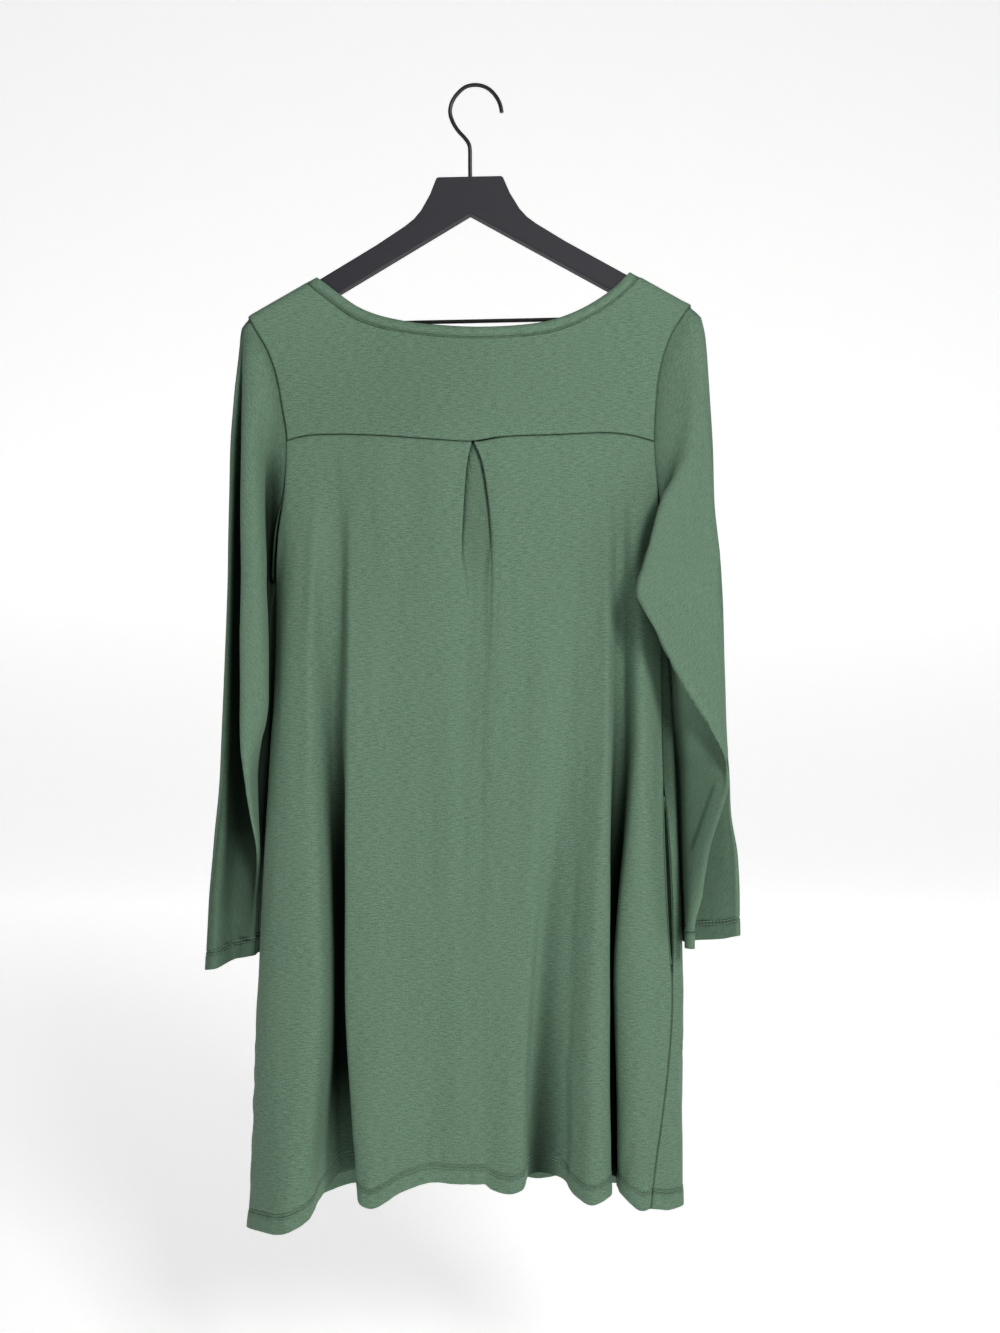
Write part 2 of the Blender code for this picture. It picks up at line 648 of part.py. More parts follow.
def pocket(back, front, edge, beside, into, inward):
    """Rings of a bag hung behind a side seam: it leaves the mouth one way, then runs into the dress."""
    middle = (MOUTH_TOP + MOUTH_BOTTOM) / 2
    half = (MOUTH_BOTTOM - MOUTH_TOP) / 2
    rings = []
    for reach, tall, half_thick in BAG_RINGS:
        ring = []
        for k in range(BAG_SIDES):
            angle = 2 * math.pi * k / BAG_SIDES
            share = middle - half * tall * math.cos(angle)
            seam = (on_column(back, edge, share) + on_column(front, edge, share)) / 2
            across = on_column(front, beside, share) - on_column(back, beside, share)
            across = unit(across * (1, 1, 0))
            turned = eased((reach - 12) / 26)
            out = unit(across * (1 - turned) + np.array([0, turned, 0]))
            place = seam + np.array(into) * min(reach, 12) + np.array([inward, 0, 0]) * max(reach - 12, 0)
            place[1] += (BAG_MIDDLE_Y - place[1]) * eased((reach - 8) / 50)
            place[2] -= BAG_DROP * eased(reach / 120)
            ring.append(place + out * half_thick * math.sin(angle))
        rings.append(ring)
    return rings


def pouch(name, rings, finish):
    """Rings of points as a bag, open at its first ring and closed at its last."""
    work = bmesh.new()
    loops = [[work.verts.new(Vector(place * MM)) for place in ring] for ring in rings]
    for outer, inner in zip(loops, loops[1:]):
        for k in range(len(outer)):
            after = (k + 1) % len(outer)
            work.faces.new((outer[k], outer[after], inner[after], inner[k]))
    work.faces.new(loops[-1])
    bmesh.ops.recalc_face_normals(work, faces=work.faces)
    mesh = bpy.data.meshes.new(name)
    work.to_mesh(mesh)
    work.free()
    mesh.shade_smooth()
    walled(new_object(name, mesh, finish), BAG_WALL)


# Hanger

def rolled(x, y, z):
    """A point of the level hanger, turned to how it hangs."""
    across = HANGER_CENTRE + x
    return ((across * math.cos(HANGER_ROLL) - z * math.sin(HANGER_ROLL)) * MM, y * MM,
            (across * math.sin(HANGER_ROLL) + z * math.cos(HANGER_ROLL)) * MM)


def flat_curve(name, outline):
    curve = bpy.data.curves.new(name, "CURVE")
    curve.dimensions = "2D"
    curve.fill_mode = "BOTH"
    spline = curve.splines.new("POLY")
    spline.points.add(len(outline) - 1)
    for point, (x, z) in zip(spline.points, outline):
        point.co = (x * MM, z * MM, 0, 1)
    spline.use_cyclic_u = True
    curve.extrude = HANGER_THICK / 2 * MM
    return curve


def as_mesh(helper):
    """A welded mesh of a curve object's shape."""
    graph = bpy.context.evaluated_depsgraph_get()
    mesh = bpy.data.meshes.new_from_object(helper.evaluated_get(graph))
    work = bmesh.new()
    work.from_mesh(mesh)
    bmesh.ops.remove_doubles(work, verts=work.verts, dist=1e-5)
    bmesh.ops.recalc_face_normals(work, faces=work.faces)
    work.to_mesh(mesh)
    work.free()
    return mesh


def hanger_body():
    outline = list(ARM_OUTLINE) + [(-x, z) for x, z in ARM_OUTLINE[-2:0:-1]]
    helper = bpy.data.objects.new("hanger_curve", flat_curve("hanger_curve", outline))
    garment.objects.link(helper)
    bpy.context.view_layer.update()
    mesh = as_mesh(helper)
    bpy.data.objects.remove(helper, do_unlink=True)
    mesh.transform(Matrix.Rotation(math.pi / 2, 4, "X"))
    mesh.transform(Matrix.Translation((HANGER_CENTRE * MM, 0, 0)))
    mesh.transform(Matrix.Rotation(-HANGER_ROLL, 4, "Y"))
    made = new_object("hanger_body", mesh, charcoal)
    edge = made.modifiers.new("edge", "BEVEL")
    edge.width = HANGER_EDGE * MM
    edge.segments = 2
    edge.limit_method = "ANGLE"
    edge.angle_limit = math.radians(60)
    for name, cutter in (("stem_hole", stem_cutter()), ("bar_hole", bar_cutter())):
        cut = made.modifiers.new(name, "BOOLEAN")
        cut.operation = "DIFFERENCE"
        cut.object = cutter


def cylinder(name, start, end, radius, collection, sides=16):
    start, end = Vector(start), Vector(end)
    mesh = bpy.data.meshes.new(name)
    work = bmesh.new()
    bmesh.ops.create_cone(work, cap_ends=True, segments=sides, radius1=radius * MM, radius2=radius * MM,
                          depth=(end - start).length)
    turn = (end - start).to_track_quat("Z", "Y").to_matrix().to_4x4()
    bmesh.ops.transform(work, matrix=Matrix.Translation((start + end) / 2) @ turn, verts=work.verts)
    work.to_mesh(mesh)
    work.free()
    made = bpy.data.objects.new(name, mesh)
    collection.objects.link(made)
    return made


def as_cutter(made):
    made.hide_render = True
    made.display_type = "WIRE"
    return made


def stem_cutter():
    x, z = HOOK_ROUTE[-1]
    return as_cutter(cylinder("stem_cutter", (x * MM, 0, (z - 1) * MM), (x * MM, 0, -70 * MM),
                              WIRE_RADIUS + SOCKET_CLEARANCE, cutters))


def bar_cutter():
    reach = BAR_HALF_LENGTH + 1
    return as_cutter(cylinder("bar_cutter", rolled(-reach, 0, BAR_HEIGHT), rolled(reach, 0, BAR_HEIGHT),
                              BAR_RADIUS + SOCKET_CLEARANCE, cutters))


def hanger_bar():
    made = cylinder("hanger_bar", rolled(-BAR_HALF_LENGTH, 0, BAR_HEIGHT), rolled(BAR_HALF_LENGTH, 0, BAR_HEIGHT),
                    BAR_RADIUS, garment)
    made.data.materials.append(black)
    made.data.shade_smooth()


def hanger_hook():
    route = rounded([(x, 0, z) for x, z in HOOK_ROUTE], each=3)
    curve = bpy.data.curves.new("hanger_hook", "CURVE")
    curve.dimensions = "3D"
    spline = curve.splines.new("POLY")
    spline.points.add(len(route) - 1)
    for point, place in zip(spline.points, route):
        point.co = (*(place * MM), 1)
    curve.bevel_depth = WIRE_RADIUS * MM
    curve.bevel_resolution = 2
    curve.use_fill_caps = True
    curve.materials.append(black)
    garment.objects.link(bpy.data.objects.new("hanger_hook", curve))


for old in list(bpy.data.objects):
    bpy.data.objects.remove(old, do_unlink=True)
garment = bpy.data.collections.new("swing_dress_on_hanger")
cutters = bpy.data.collections.new("cutters")
bpy.context.scene.collection.children.link(garment)
bpy.context.scene.collection.children.link(cutters)

jersey = material("green_jersey", GREEN, 0.75)
pocketing = material("pocket_jersey", GREEN_INSIDE, 0.8)
charcoal = material("charcoal_paint", CHARCOAL, 0.5)
black = material("black_wire", BLACK, 0.35)

hanger_body()
hanger_bar()
hanger_hook()
back_skirt, front_skirt = skirts()
yoke_grid = yoke()
front_grid = front_panel(front_skirt)
cloth("back_yoke", yoke_grid, jersey)
cloth("back_panel", back_skirt, jersey)
cloth("front_panel", front_grid, jersey)
cloth("sleeve_left", sleeve(LEFT_SLEEVE, ARMHOLE_LEFT, LEFT_CUFF, -1), jersey, tube=True)
cloth("sleeve_right", sleeve(RIGHT_SLEEVE, ARMHOLE_RIGHT, RIGHT_CUFF, 1), jersey, tube=True)
cloth("neckband", neckband(yoke_grid, front_grid), jersey, tube=True, wall=BAND_WALL)
pouch("pocket_left", pocket(back_skirt, front_skirt, 0, 1, (1, 0, 0), 1), pocketing)
pouch("pocket_right", pocket(back_skirt, front_skirt, -1, -2, (0, 1, 0), -1), pocketing)
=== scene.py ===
"""A green long-sleeved swing dress that hangs on its painted hanger, seen from the back."""
import math

import bpy
import numpy as np
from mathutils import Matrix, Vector, noise


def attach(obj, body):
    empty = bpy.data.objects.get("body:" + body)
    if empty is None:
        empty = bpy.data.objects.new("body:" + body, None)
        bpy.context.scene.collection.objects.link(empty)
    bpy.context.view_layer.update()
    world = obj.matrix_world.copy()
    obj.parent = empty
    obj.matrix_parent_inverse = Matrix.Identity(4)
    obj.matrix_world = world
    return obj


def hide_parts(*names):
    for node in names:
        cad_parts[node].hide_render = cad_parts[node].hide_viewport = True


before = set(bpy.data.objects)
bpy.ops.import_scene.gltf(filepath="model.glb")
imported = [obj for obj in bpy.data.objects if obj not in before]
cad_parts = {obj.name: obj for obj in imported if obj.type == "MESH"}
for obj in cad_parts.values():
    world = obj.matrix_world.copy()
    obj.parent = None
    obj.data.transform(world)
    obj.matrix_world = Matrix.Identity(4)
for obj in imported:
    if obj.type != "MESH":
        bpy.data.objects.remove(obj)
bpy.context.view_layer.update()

MM = 0.001


# Camera
# It looks level along +Y at the middle of the hanging dress, from 1.25 m. Each pixel of a picture
# 1333 pixels tall is 0.95 mm wide at the hanger.
CAMERA_PLACE = (0.02375, -1.25, -0.5505)
PIXEL_AT_HANGER = 0.00095
PICTURE_HEIGHT = 1333
SENSOR = 36.0

camera_data = bpy.data.cameras.new("camera")
camera_data.sensor_fit = "VERTICAL"
camera_data.sensor_height = SENSOR
camera_data.lens = SENSOR * -CAMERA_PLACE[1] / PIXEL_AT_HANGER / PICTURE_HEIGHT
camera = bpy.data.objects.new("camera", camera_data)
camera.location = CAMERA_PLACE
camera.rotation_euler = (math.pi / 2, 0, 0)
bpy.context.scene.collection.objects.link(camera)
bpy.context.scene.camera = camera


# Stage
# A pale floor that sweeps up into a backdrop far behind the dress, both of which glow a little, and
# large soft lights: a key above the camera's right, a fill on its left and a weak one behind.
FLOOR_HEIGHT = -1.32
FLOOR_NEAR = -5.0
FLOOR_FAR = 3.0
SWEEP_RADIUS = 1.2
BACKDROP_TOP = 3.2
STAGE_HALF_WIDTH = 6.0
DRESS_MIDDLE = Vector((0.0, 0.0, -0.6))


def linear(hex_colour):
    """An sRGB hex colour as linear red, green, blue and alpha."""
    channels = [int(hex_colour[k:k + 2], 16) / 255 for k in (1, 3, 5)]
    return (*[c / 12.92 if c <= 0.04045 else ((c + 0.055) / 1.055) ** 2.4 for c in channels], 1.0)


def add_node(tree, kind, inputs=None, **settings):
    """Adds a node. Each input is set to a value, or linked from another node's output."""
    node = tree.nodes.new(kind)
    for name, value in settings.items():
        setattr(node, name, value)
    for name, value in (inputs or {}).items():
        if isinstance(value, bpy.types.NodeSocket):
            tree.links.new(value, node.inputs[name])
        else:
            node.inputs[name].default_value = value
    return node


def speckle(tree, place, scale, detail, **more):
    """The value of a noise texture."""
    return add_node(tree, "ShaderNodeTexNoise",
                    {"Vector": place, "Scale": scale, "Detail": detail, **more}).outputs[0]


def stretched(tree, value, low=0.0, high=1.0, to_low=0.0, to_high=1.0):
    """A value stretched from one range to another."""
    return add_node(tree, "ShaderNodeMapRange",
                    {0: value, 1: low, 2: high, 3: to_low, 4: to_high}).outputs[0]


def between(tree, share, first, second):
    """A colour between two colours."""
    return add_node(tree, "ShaderNodeMix", {0: share, 6: first, 7: second}, data_type="RGBA").outputs[2]


def add_bump(tree, shader, height, strength, distance):
    bump = add_node(tree, "ShaderNodeBump", {"Height": height, "Strength": strength, "Distance": distance})
    tree.links.new(bump.outputs[0], shader.inputs["Normal"])


def new_material(name, colour, roughness):
    """A material with its Principled shader's colour and roughness set, and that shader."""
    made = bpy.data.materials.new(name)
    made.use_nodes = True
    shader = made.node_tree.nodes["Principled BSDF"]
    shader.inputs["Base Color"].default_value = linear(colour)
    shader.inputs["Roughness"].default_value = roughness
    return made, shader


def select_only(piece):
    bpy.ops.object.select_all(action="DESELECT")
    piece.select_set(True)
    bpy.context.view_layer.objects.active = piece


def new_grid(name, places, finish):
    """A primitive grid whose points are moved to places, rows by columns, in millimetres."""
    rows, columns = places.shape[:2]
    bpy.ops.object.select_all(action="DESELECT")
    bpy.ops.mesh.primitive_grid_add(x_subdivisions=columns - 1, y_subdivisions=rows - 1, size=1)
    piece = bpy.context.active_object
    piece.name = name
    piece.data.name = name
    piece.data.vertices.foreach_set("co", (places * MM).astype(np.float32).ravel())
    piece.data.update()
    piece.data.materials.append(finish)
    bpy.ops.object.shade_smooth()
    return piece


paper, paper_shader = new_material("matt_white_paper", "#F4F4F3", 0.9)
paper_shader.inputs["Emission Color"].default_value = linear("#FFFFFF")
paper_shader.inputs["Emission Strength"].default_value = 0.6
arc = [(FLOOR_FAR + SWEEP_RADIUS * math.sin(a), FLOOR_HEIGHT + SWEEP_RADIUS * (1 - math.cos(a)))
       for a in np.linspace(0, math.pi / 2, 13)]
profile = [(FLOOR_NEAR, FLOOR_HEIGHT), *arc, (FLOOR_FAR + SWEEP_RADIUS, BACKDROP_TOP)]
sweep = np.array([[(x, y, z) for x in np.linspace(-STAGE_HALF_WIDTH, STAGE_HALF_WIDTH, 3)]
                  for y, z in profile]) / MM
backdrop = new_grid("floor_and_backdrop", sweep, paper)


def soft_light(name, place, aim, width, height, watts):
    data = bpy.data.lights.new(name, "AREA")
    data.shape = "RECTANGLE"
    data.size = width
    data.size_y = height
    data.energy = watts
    light = bpy.data.objects.new(name, data)
    light.location = place
    light.rotation_euler = (Vector(aim) - Vector(place)).to_track_quat("-Z", "Y").to_euler()
    bpy.context.scene.collection.objects.link(light)


soft_light("key", (1.2, -2.4, 0.85), DRESS_MIDDLE, 0.8, 0.8, 58)
soft_light("fill", (-1.9, -2.3, -0.2), DRESS_MIDDLE, 1.4, 1.8, 3)
soft_light("back_light", (0.6, 2.6, 0.6), DRESS_MIDDLE, 1.6, 1.4, 5)

world = bpy.data.worlds.new("pale_room")
world.use_nodes = True
world.node_tree.nodes["Background"].inputs["Color"].default_value = linear("#EEF0F2")
world.node_tree.nodes["Background"].inputs["Strength"].default_value = 0.04
bpy.context.scene.world = world
bpy.context.scene.view_settings.view_transform = "Standard"


# Hanger
# A flat beech body painted matt charcoal, with a black wire hook pressed into its neck and a thin
# black steel bar between its arms. Its three nodes keep their shapes and get their real finishes.
charcoal, charcoal_shader = new_material("matt_charcoal_paint", "#37353B", 0.5)
tree = charcoal.node_tree
place = add_node(tree, "ShaderNodeTexCoord").outputs["Object"]
# Brush-smooth paint over wood: faint streaks about 3 mm apart along the arms, and dust-fine grain
along_arms = add_node(tree, "ShaderNodeMapping", {"Vector": place, "Scale": (40, 300, 300)})
streaks = speckle(tree, along_arms.outputs[0], 1.0, 4.0)
tone = between(tree, streaks, linear("#232127"), linear("#302E34"))
tree.links.new(tone, charcoal_shader.inputs["Base Color"])
shine = stretched(tree, streaks, to_low=0.55, to_high=0.7)
tree.links.new(shine, charcoal_shader.inputs["Roughness"])
charcoal_shader.inputs["Specular IOR Level"].default_value = 0.35
orange_peel = speckle(tree, place, 900.0, 2.0)
add_bump(tree, charcoal_shader, orange_peel, 0.12, 0.0002)

wire, wire_shader = new_material("black_lacquered_wire", "#141415", 0.32)
tree = wire.node_tree
place = add_node(tree, "ShaderNodeTexCoord").outputs["Object"]
draw_marks = speckle(tree, place, 400.0, 3.0)
shine = stretched(tree, draw_marks, to_low=0.24, to_high=0.42)
tree.links.new(shine, wire_shader.inputs["Roughness"])

for node, finish in (("hanger_body", charcoal), ("hanger_hook", wire), ("hanger_bar", wire)):
    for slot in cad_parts[node].material_slots:
        slot.material = finish


# Back yoke
# The upper back, one layer of viscose jersey cut as a wide shield, sewn to the sleeves at its sides
# and to the pleated back panel along its lower edge. It hangs from the hanger's arms.
CLOTH_THICK = 1.3
SEAM_GAP = 0.3
SHOULDER_SEAM = 0.4
RIDGE_RADIUS = 8.35
BACK_FULLNESS = 25.0
FRONT_FULLNESS = 13.0
FULLNESS_REACH = 215.0
FULLNESS_START = 40.0
FULLNESS_LENGTH = 200.0
LEFT_TIP = (-215.0, -219.0)
RIGHT_TIP = (205.0, -208.0)
LEFT_NECK = (-160.0, -187.0)
RIGHT_NECK = (156.5, -182.0)
NECK_SLOPE = 0.57
NECK_PEAK = -91.5
NECK_PEAK_X = 2.6
NECK_PEAK_ROUND = 40.0
BACK_NECKLINE = (
    (-155, -192), (-132, -210), (-116, -221), (-95, -230), (-62, -238), (-31, -242),
    (4, -244), (48, -241), (77, -235), (108, -222), (137, -203), (152, -188),
)
YOKE_SEAM = (
    (-177, -338), (-160, -334), (-137, -333), (-94, -335), (-37, -340), (-3, -342),
    (24, -338), (76, -335), (126, -332), (148, -334), (169, -339),
)
ARMHOLE_LEFT = ((-219, -215), (-237, -205), (-253, -196), (-279, -187), (-305, -182), (-338, -177),
                (-380, -179), (-430, -186), (-469, -189))
ARMHOLE_RIGHT = ((-208, 205), (-219, 197), (-237, 186), (-262, 177), (-289, 172), (-339, 169),
                 (-381, 172), (-430, 175), (-462, 177))
UPPER_ROWS = np.concatenate([[0, 0.003, 0.008, 0.015, 0.025, 0.04, 0.06, 0.085, 0.12],
                             np.linspace(0.16, 0.94, 32), [0.965, 0.98, 0.989, 0.995, 1]])
SIDE_INFLUENCE = 5.0
YOKE_COLUMNS = 190


def through(knots, values, at):
    """A smooth curve through values at rising knots that never swings past them."""
    knots = np.asarray(knots, float)
    values = np.asarray(values, float)
    steps = np.diff(knots)
    slopes = np.diff(values) / steps
    before, after = slopes[:-1], slopes[1:]
    same_way = before * after > 0
    inner = np.where(same_way, 2 * before * after / np.where(same_way, before + after, 1.0), 0.0)
    tangents = np.concatenate([slopes[:1], inner, slopes[-1:]])
    i = np.clip(np.searchsorted(knots, at, side="right") - 1, 0, len(steps) - 1)
    t = np.clip((at - knots[i]) / steps[i], 0.0, 1.0)
    start = (1 + 2 * t) * (1 - t) ** 2 * values[i] + t * (1 - t) ** 2 * steps[i] * tangents[i]
    end = t * t * (3 - 2 * t) * values[i + 1] + t * t * (t - 1) * steps[i] * tangents[i + 1]
    return start + end


def eased(share):
    share = np.clip(share, 0.0, 1.0)
    return share * share * (3 - 2 * share)


def unit(vectors):
    return vectors / np.linalg.norm(vectors, axis=-1, keepdims=True)


def curves(corners, counts):
    """Rounded curves through rows of corners, with a count of steps for each segment."""
    first = 2 * corners[:, :1] - corners[:, 1:2]
    last = 2 * corners[:, -1:] - corners[:, -2:-1]
    padded = np.concatenate([first, corners, last], axis=1)
    # Steps grow with the square root of a segment's length, which keeps the curve from looping
    spans = np.sqrt(np.linalg.norm(np.diff(padded, axis=1), axis=2, keepdims=True)) + 1e-6
    pieces = []
    for k, count in enumerate(counts):
        before, start, end, after = (padded[:, k + j:k + j + 1] for j in range(4))
        in_span, span, out_span = (spans[:, k + j:k + j + 1] for j in range(3))
        leave = (start - before) / in_span - (end - before) / (in_span + span) + (end - start) / span
        arrive = (end - start) / span - (after - start) / (span + out_span) + (after - end) / out_span
        t = (np.arange(count) / count)[None, :, None]
        pieces.append((1 + 2 * t) * (1 - t) ** 2 * start + t * (1 - t) ** 2 * span * leave
                      + t * t * (3 - 2 * t) * end + t * t * (t - 1) * span * arrive)
    pieces.append(corners[:, -1:])
    return np.concatenate(pieces, axis=1)


def rounded(points, each):
    points = np.asarray(points, float)
    return curves(points[None], [each] * (len(points) - 1))[0]


def path_lengths(curve):
    return np.concatenate([[0], np.cumsum(np.linalg.norm(np.diff(curve, axis=0), axis=1))])


def points_at(curve, lengths):
    reached = path_lengths(curve)
    return np.stack([np.interp(lengths, reached, curve[:, k]) for k in range(curve.shape[1])], axis=-1)


def ridge_height(x):
    """Height of the cloth's fold over the arms, carried on as a slope above the neck opening."""
    left = np.interp(x, *zip(LEFT_TIP, LEFT_NECK))
    right = np.interp(x, *zip(RIGHT_NECK, RIGHT_TIP))
    over_neck = NECK_PEAK - NECK_SLOPE * np.hypot(x - NECK_PEAK_X, NECK_PEAK_ROUND)
    return np.where(x < LEFT_NECK[0], left, np.where(x > RIGHT_NECK[0], right, over_neck))


def upper_depth(x, z, fullness):
    """How far the cloth above the yoke line stands from the hanger's middle plane."""
    drop = np.maximum(ridge_height(x) - z, 0.0)
    roll = RIDGE_RADIUS * np.sqrt(1 - (1 - np.minimum(drop / RIDGE_RADIUS, 1)) ** 2)
    spread = fullness * np.maximum(1 - (x / FULLNESS_REACH) ** 2, 0.0)
    return roll + spread * eased((drop - FULLNESS_START) / FULLNESS_LENGTH)


def armhole_points(armhole, shares, way, fullness):
    """Points of an armhole seam: 0 at the shoulder tip, 1 at the yoke line, 2 at the underarm."""
    shares = np.asarray(shares, float)
    heights, places = (np.array(k, float) for k in zip(*armhole))
    yoke_z = YOKE_SEAM[0][1] if armhole is ARMHOLE_LEFT else YOKE_SEAM[-1][1]
    upper = heights[0] + (yoke_z - heights[0]) * shares
    lower = yoke_z + (heights[-1] - yoke_z) * (shares - 1)
    z = np.where(shares <= 1, upper, lower)
    x = through(-heights, places, -z)
    yoke_x = through(-heights, places, -yoke_z)
    at_yoke = upper_depth(yoke_x, yoke_z, fullness)
    closing = np.sqrt(np.clip(1 - (shares - 1) ** 2, 0.0, 1.0))
    depth = np.where(shares <= 1, upper_depth(x, z, fullness), at_yoke * closing)
    return np.stack([x, way * depth, z], axis=-1)


def neck_curve(neckline):
    """A line over the shoulder tips, neck points and neck edge, its neck points' shares and its length."""
    edge = rounded([LEFT_NECK, *neckline, RIGHT_NECK], 8)
    curve = np.array([LEFT_TIP, *edge, RIGHT_TIP], float)
    lengths = path_lengths(curve)
    return curve, lengths[[1, -2]] / lengths[-1], lengths[-1]


def top_line(neckline, shares):
    """Points along the shoulders and neck edge near shares of the way, one on each neck point."""
    curve, corners, length = neck_curve(neckline)
    spots = [int(np.argmin(abs(shares - corner))) for corner in corners]
    moved = np.interp(shares, (0, shares[spots[0]], shares[spots[1]], 1), (0, *corners, 1))
    return points_at(curve, moved * length), spots


def upper_grid(top, bottom, way, fullness):
    """The cloth from the shoulders and neck edge down to a line of points, with its depth."""
    across = np.linspace(0, 1, len(top))
    by_left = eased(1 - SIDE_INFLUENCE * across)[:, None]
    by_right = by_left[::-1]
    left = armhole_points(ARMHOLE_LEFT, UPPER_ROWS, way, fullness)[:, [0, 2]]
    right = armhole_points(ARMHOLE_RIGHT, UPPER_ROWS, way, fullness)[:, [0, 2]]
    grid = []
    for share, left_end, right_end in zip(UPPER_ROWS, left, right):
        straight = (1 - share) * top + share * bottom
        grid.append(straight + by_left * (left_end - straight[0]) + by_right * (right_end - straight[-1]))
    flat = np.array(grid)
    depth = upper_depth(flat[..., 0], flat[..., 1], fullness) + SHOULDER_SEAM
    return np.stack([flat[..., 0], way * depth, flat[..., 1]], axis=-1)


def grid_normals(grid, outward):
    across = np.gradient(grid, axis=1)
    down = np.gradient(grid, axis=0)
    return unit(np.cross(across, down) + 1e-9) * outward


def flat_lengths(grid):
    """Distance along each row from its middle column, and down each column from the top, in mm."""
    across = np.concatenate([np.zeros((len(grid), 1)),
                             np.cumsum(np.linalg.norm(np.diff(grid, axis=1), axis=2), axis=1)], axis=1)
    middle = across[:, across.shape[1] // 2][:, None]
    down = np.concatenate([np.zeros((1, grid.shape[1])),
                           np.cumsum(np.linalg.norm(np.diff(grid, axis=0), axis=2), axis=0)], axis=0)
    return across - middle, down


def nearness(distance, half_width):
    """1 at a distance of nothing, and falling smoothly to 0 on both sides."""
    return np.exp(-(distance / half_width) ** 2)


def ditch(distance, deep, half_width=1.6):
    """How far cloth is drawn in beside a seam, at a distance from it."""
    return -deep * nearness(distance, half_width)


def ripples(grid, seed, across_mm, down_mm, height):
    """Small uneven swells of a cloth, longer down than across."""
    swell = np.empty(grid.shape[:2])
    for place in np.ndindex(swell.shape):
        x, y, z = grid[place]
        swell[place] = noise.noise((x / across_mm + seed, y / across_mm, z / down_mm + seed))
    return swell * height


def dress_cloth(name, grid, seam_shade, finish, tube=False, thick=CLOTH_THICK, level=0.0):
    """Turns a grid of points in millimetres into a cloth of even thickness.

    Its UV map holds the flat cloth in metres, and a point attribute holds the shade painted into its
    colour beside seams, in furrows and in deep creases. Where level is 1 the knit's courses lie level
    on the hanging dress, and not along the grid's rows.
    """
    across, down = flat_lengths(grid)
    across = across + (grid[..., 0] - across) * level
    down = down + (grid[:1, across.shape[1] // 2, 2] - grid[..., 2] - down) * level
    piece = new_grid(name, grid, finish)
    mesh = piece.data
    mesh.uv_layers[0].name = "flat_cloth"
    corner_points = np.empty(len(mesh.loops), dtype=np.int32)
    mesh.loops.foreach_get("vertex_index", corner_points)
    flat = np.stack([across.ravel(), down.ravel()], axis=-1) * MM
    mesh.uv_layers[0].data.foreach_set("uv", flat[corner_points].astype(np.float32).ravel())
    shade = mesh.attributes.new("seam_shade", "FLOAT", "POINT")
    shade.data.foreach_set("value", seam_shade.astype(np.float32).ravel())
    select_only(piece)
    if tube:
        bpy.ops.object.mode_set(mode="EDIT")
        bpy.ops.mesh.select_all(action="SELECT")
        bpy.ops.mesh.remove_doubles(threshold=1e-5)
        bpy.ops.object.mode_set(mode="OBJECT")
    bpy.ops.object.modifier_add(type="SOLIDIFY")
    wall = piece.modifiers[-1]
    wall.thickness = thick * MM
    wall.offset = 0.0
    bpy.ops.object.modifier_apply(modifier=wall.name)
    bpy.ops.object.shade_smooth()
    return piece


# Viscose jersey: a plain weft knit of heathered green yarn. Seen from the room it is soft and nearly
# matt, with fine uneven lines across the cloth from its courses and a weak sheen on turned edges.
jersey, jersey_shader = new_material("heather_green_viscose_jersey", "#6C8F74", 0.75)
tree = jersey.node_tree
flat_cloth = add_node(tree, "ShaderNodeUVMap", uv_map="flat_cloth").outputs["UV"]
# Courses are 0.5 mm apart, too fine to show, so they are drawn as streaks 1 mm tall and 7 mm long
course_scale = add_node(tree, "ShaderNodeMapping", {"Vector": flat_cloth, "Scale": (140, 1000, 1)})
courses = speckle(tree, course_scale.outputs[0], 1.0, 3.0, Roughness=0.6)
# Heather: single yarns a little lighter or darker, drawn 1.2 mm wide
heather = speckle(tree, flat_cloth, 850.0, 2.0)
patches = speckle(tree, flat_cloth, 16.0, 3.0)
course_tone = stretched(tree, courses, 0.36, 0.64)
heather_tone = stretched(tree, heather, 0.34, 0.66)
yarn = add_node(tree, "ShaderNodeMix", {0: 0.5, 2: course_tone, 3: heather_tone}).outputs[0]
green = between(tree, yarn, linear("#4B6554"), linear("#79977F"))
patch_tone = stretched(tree, patches, 0.35, 0.65, to_high=0.22)
uneven = between(tree, patch_tone, green, linear("#6A846A"))
# The shade painted into the cloth's colour beside seams, in furrows and in deep creases, towards a
# near-black green
seam_shade = add_node(tree, "ShaderNodeAttribute", attribute_name="seam_shade").outputs["Fac"]
shaded_green = between(tree, seam_shade, uneven, linear("#0A0F0B"))
tree.links.new(shaded_green, jersey_shader.inputs["Base Color"])
add_bump(tree, jersey_shader, yarn, 0.35, 0.0004)
jersey_shader.inputs["Sheen Roughness"].default_value = 0.45
jersey_shader.inputs["Sheen Tint"].default_value = linear("#C9DCCB")
# Where shade is painted into its colour, the cloth loses its sheen and shine with it
gloss = stretched(tree, seam_shade, high=0.5, to_low=0.15, to_high=0.0)
tree.links.new(gloss, jersey_shader.inputs["Sheen Weight"])
tree.links.new(gloss, jersey_shader.inputs["Specular IOR Level"])


def side_distances(grid):
    """Distance of each point from the first and last columns, along its row."""
    across = flat_lengths(grid)[0]
    return across - across[:, :1], across[:, -1:] - across


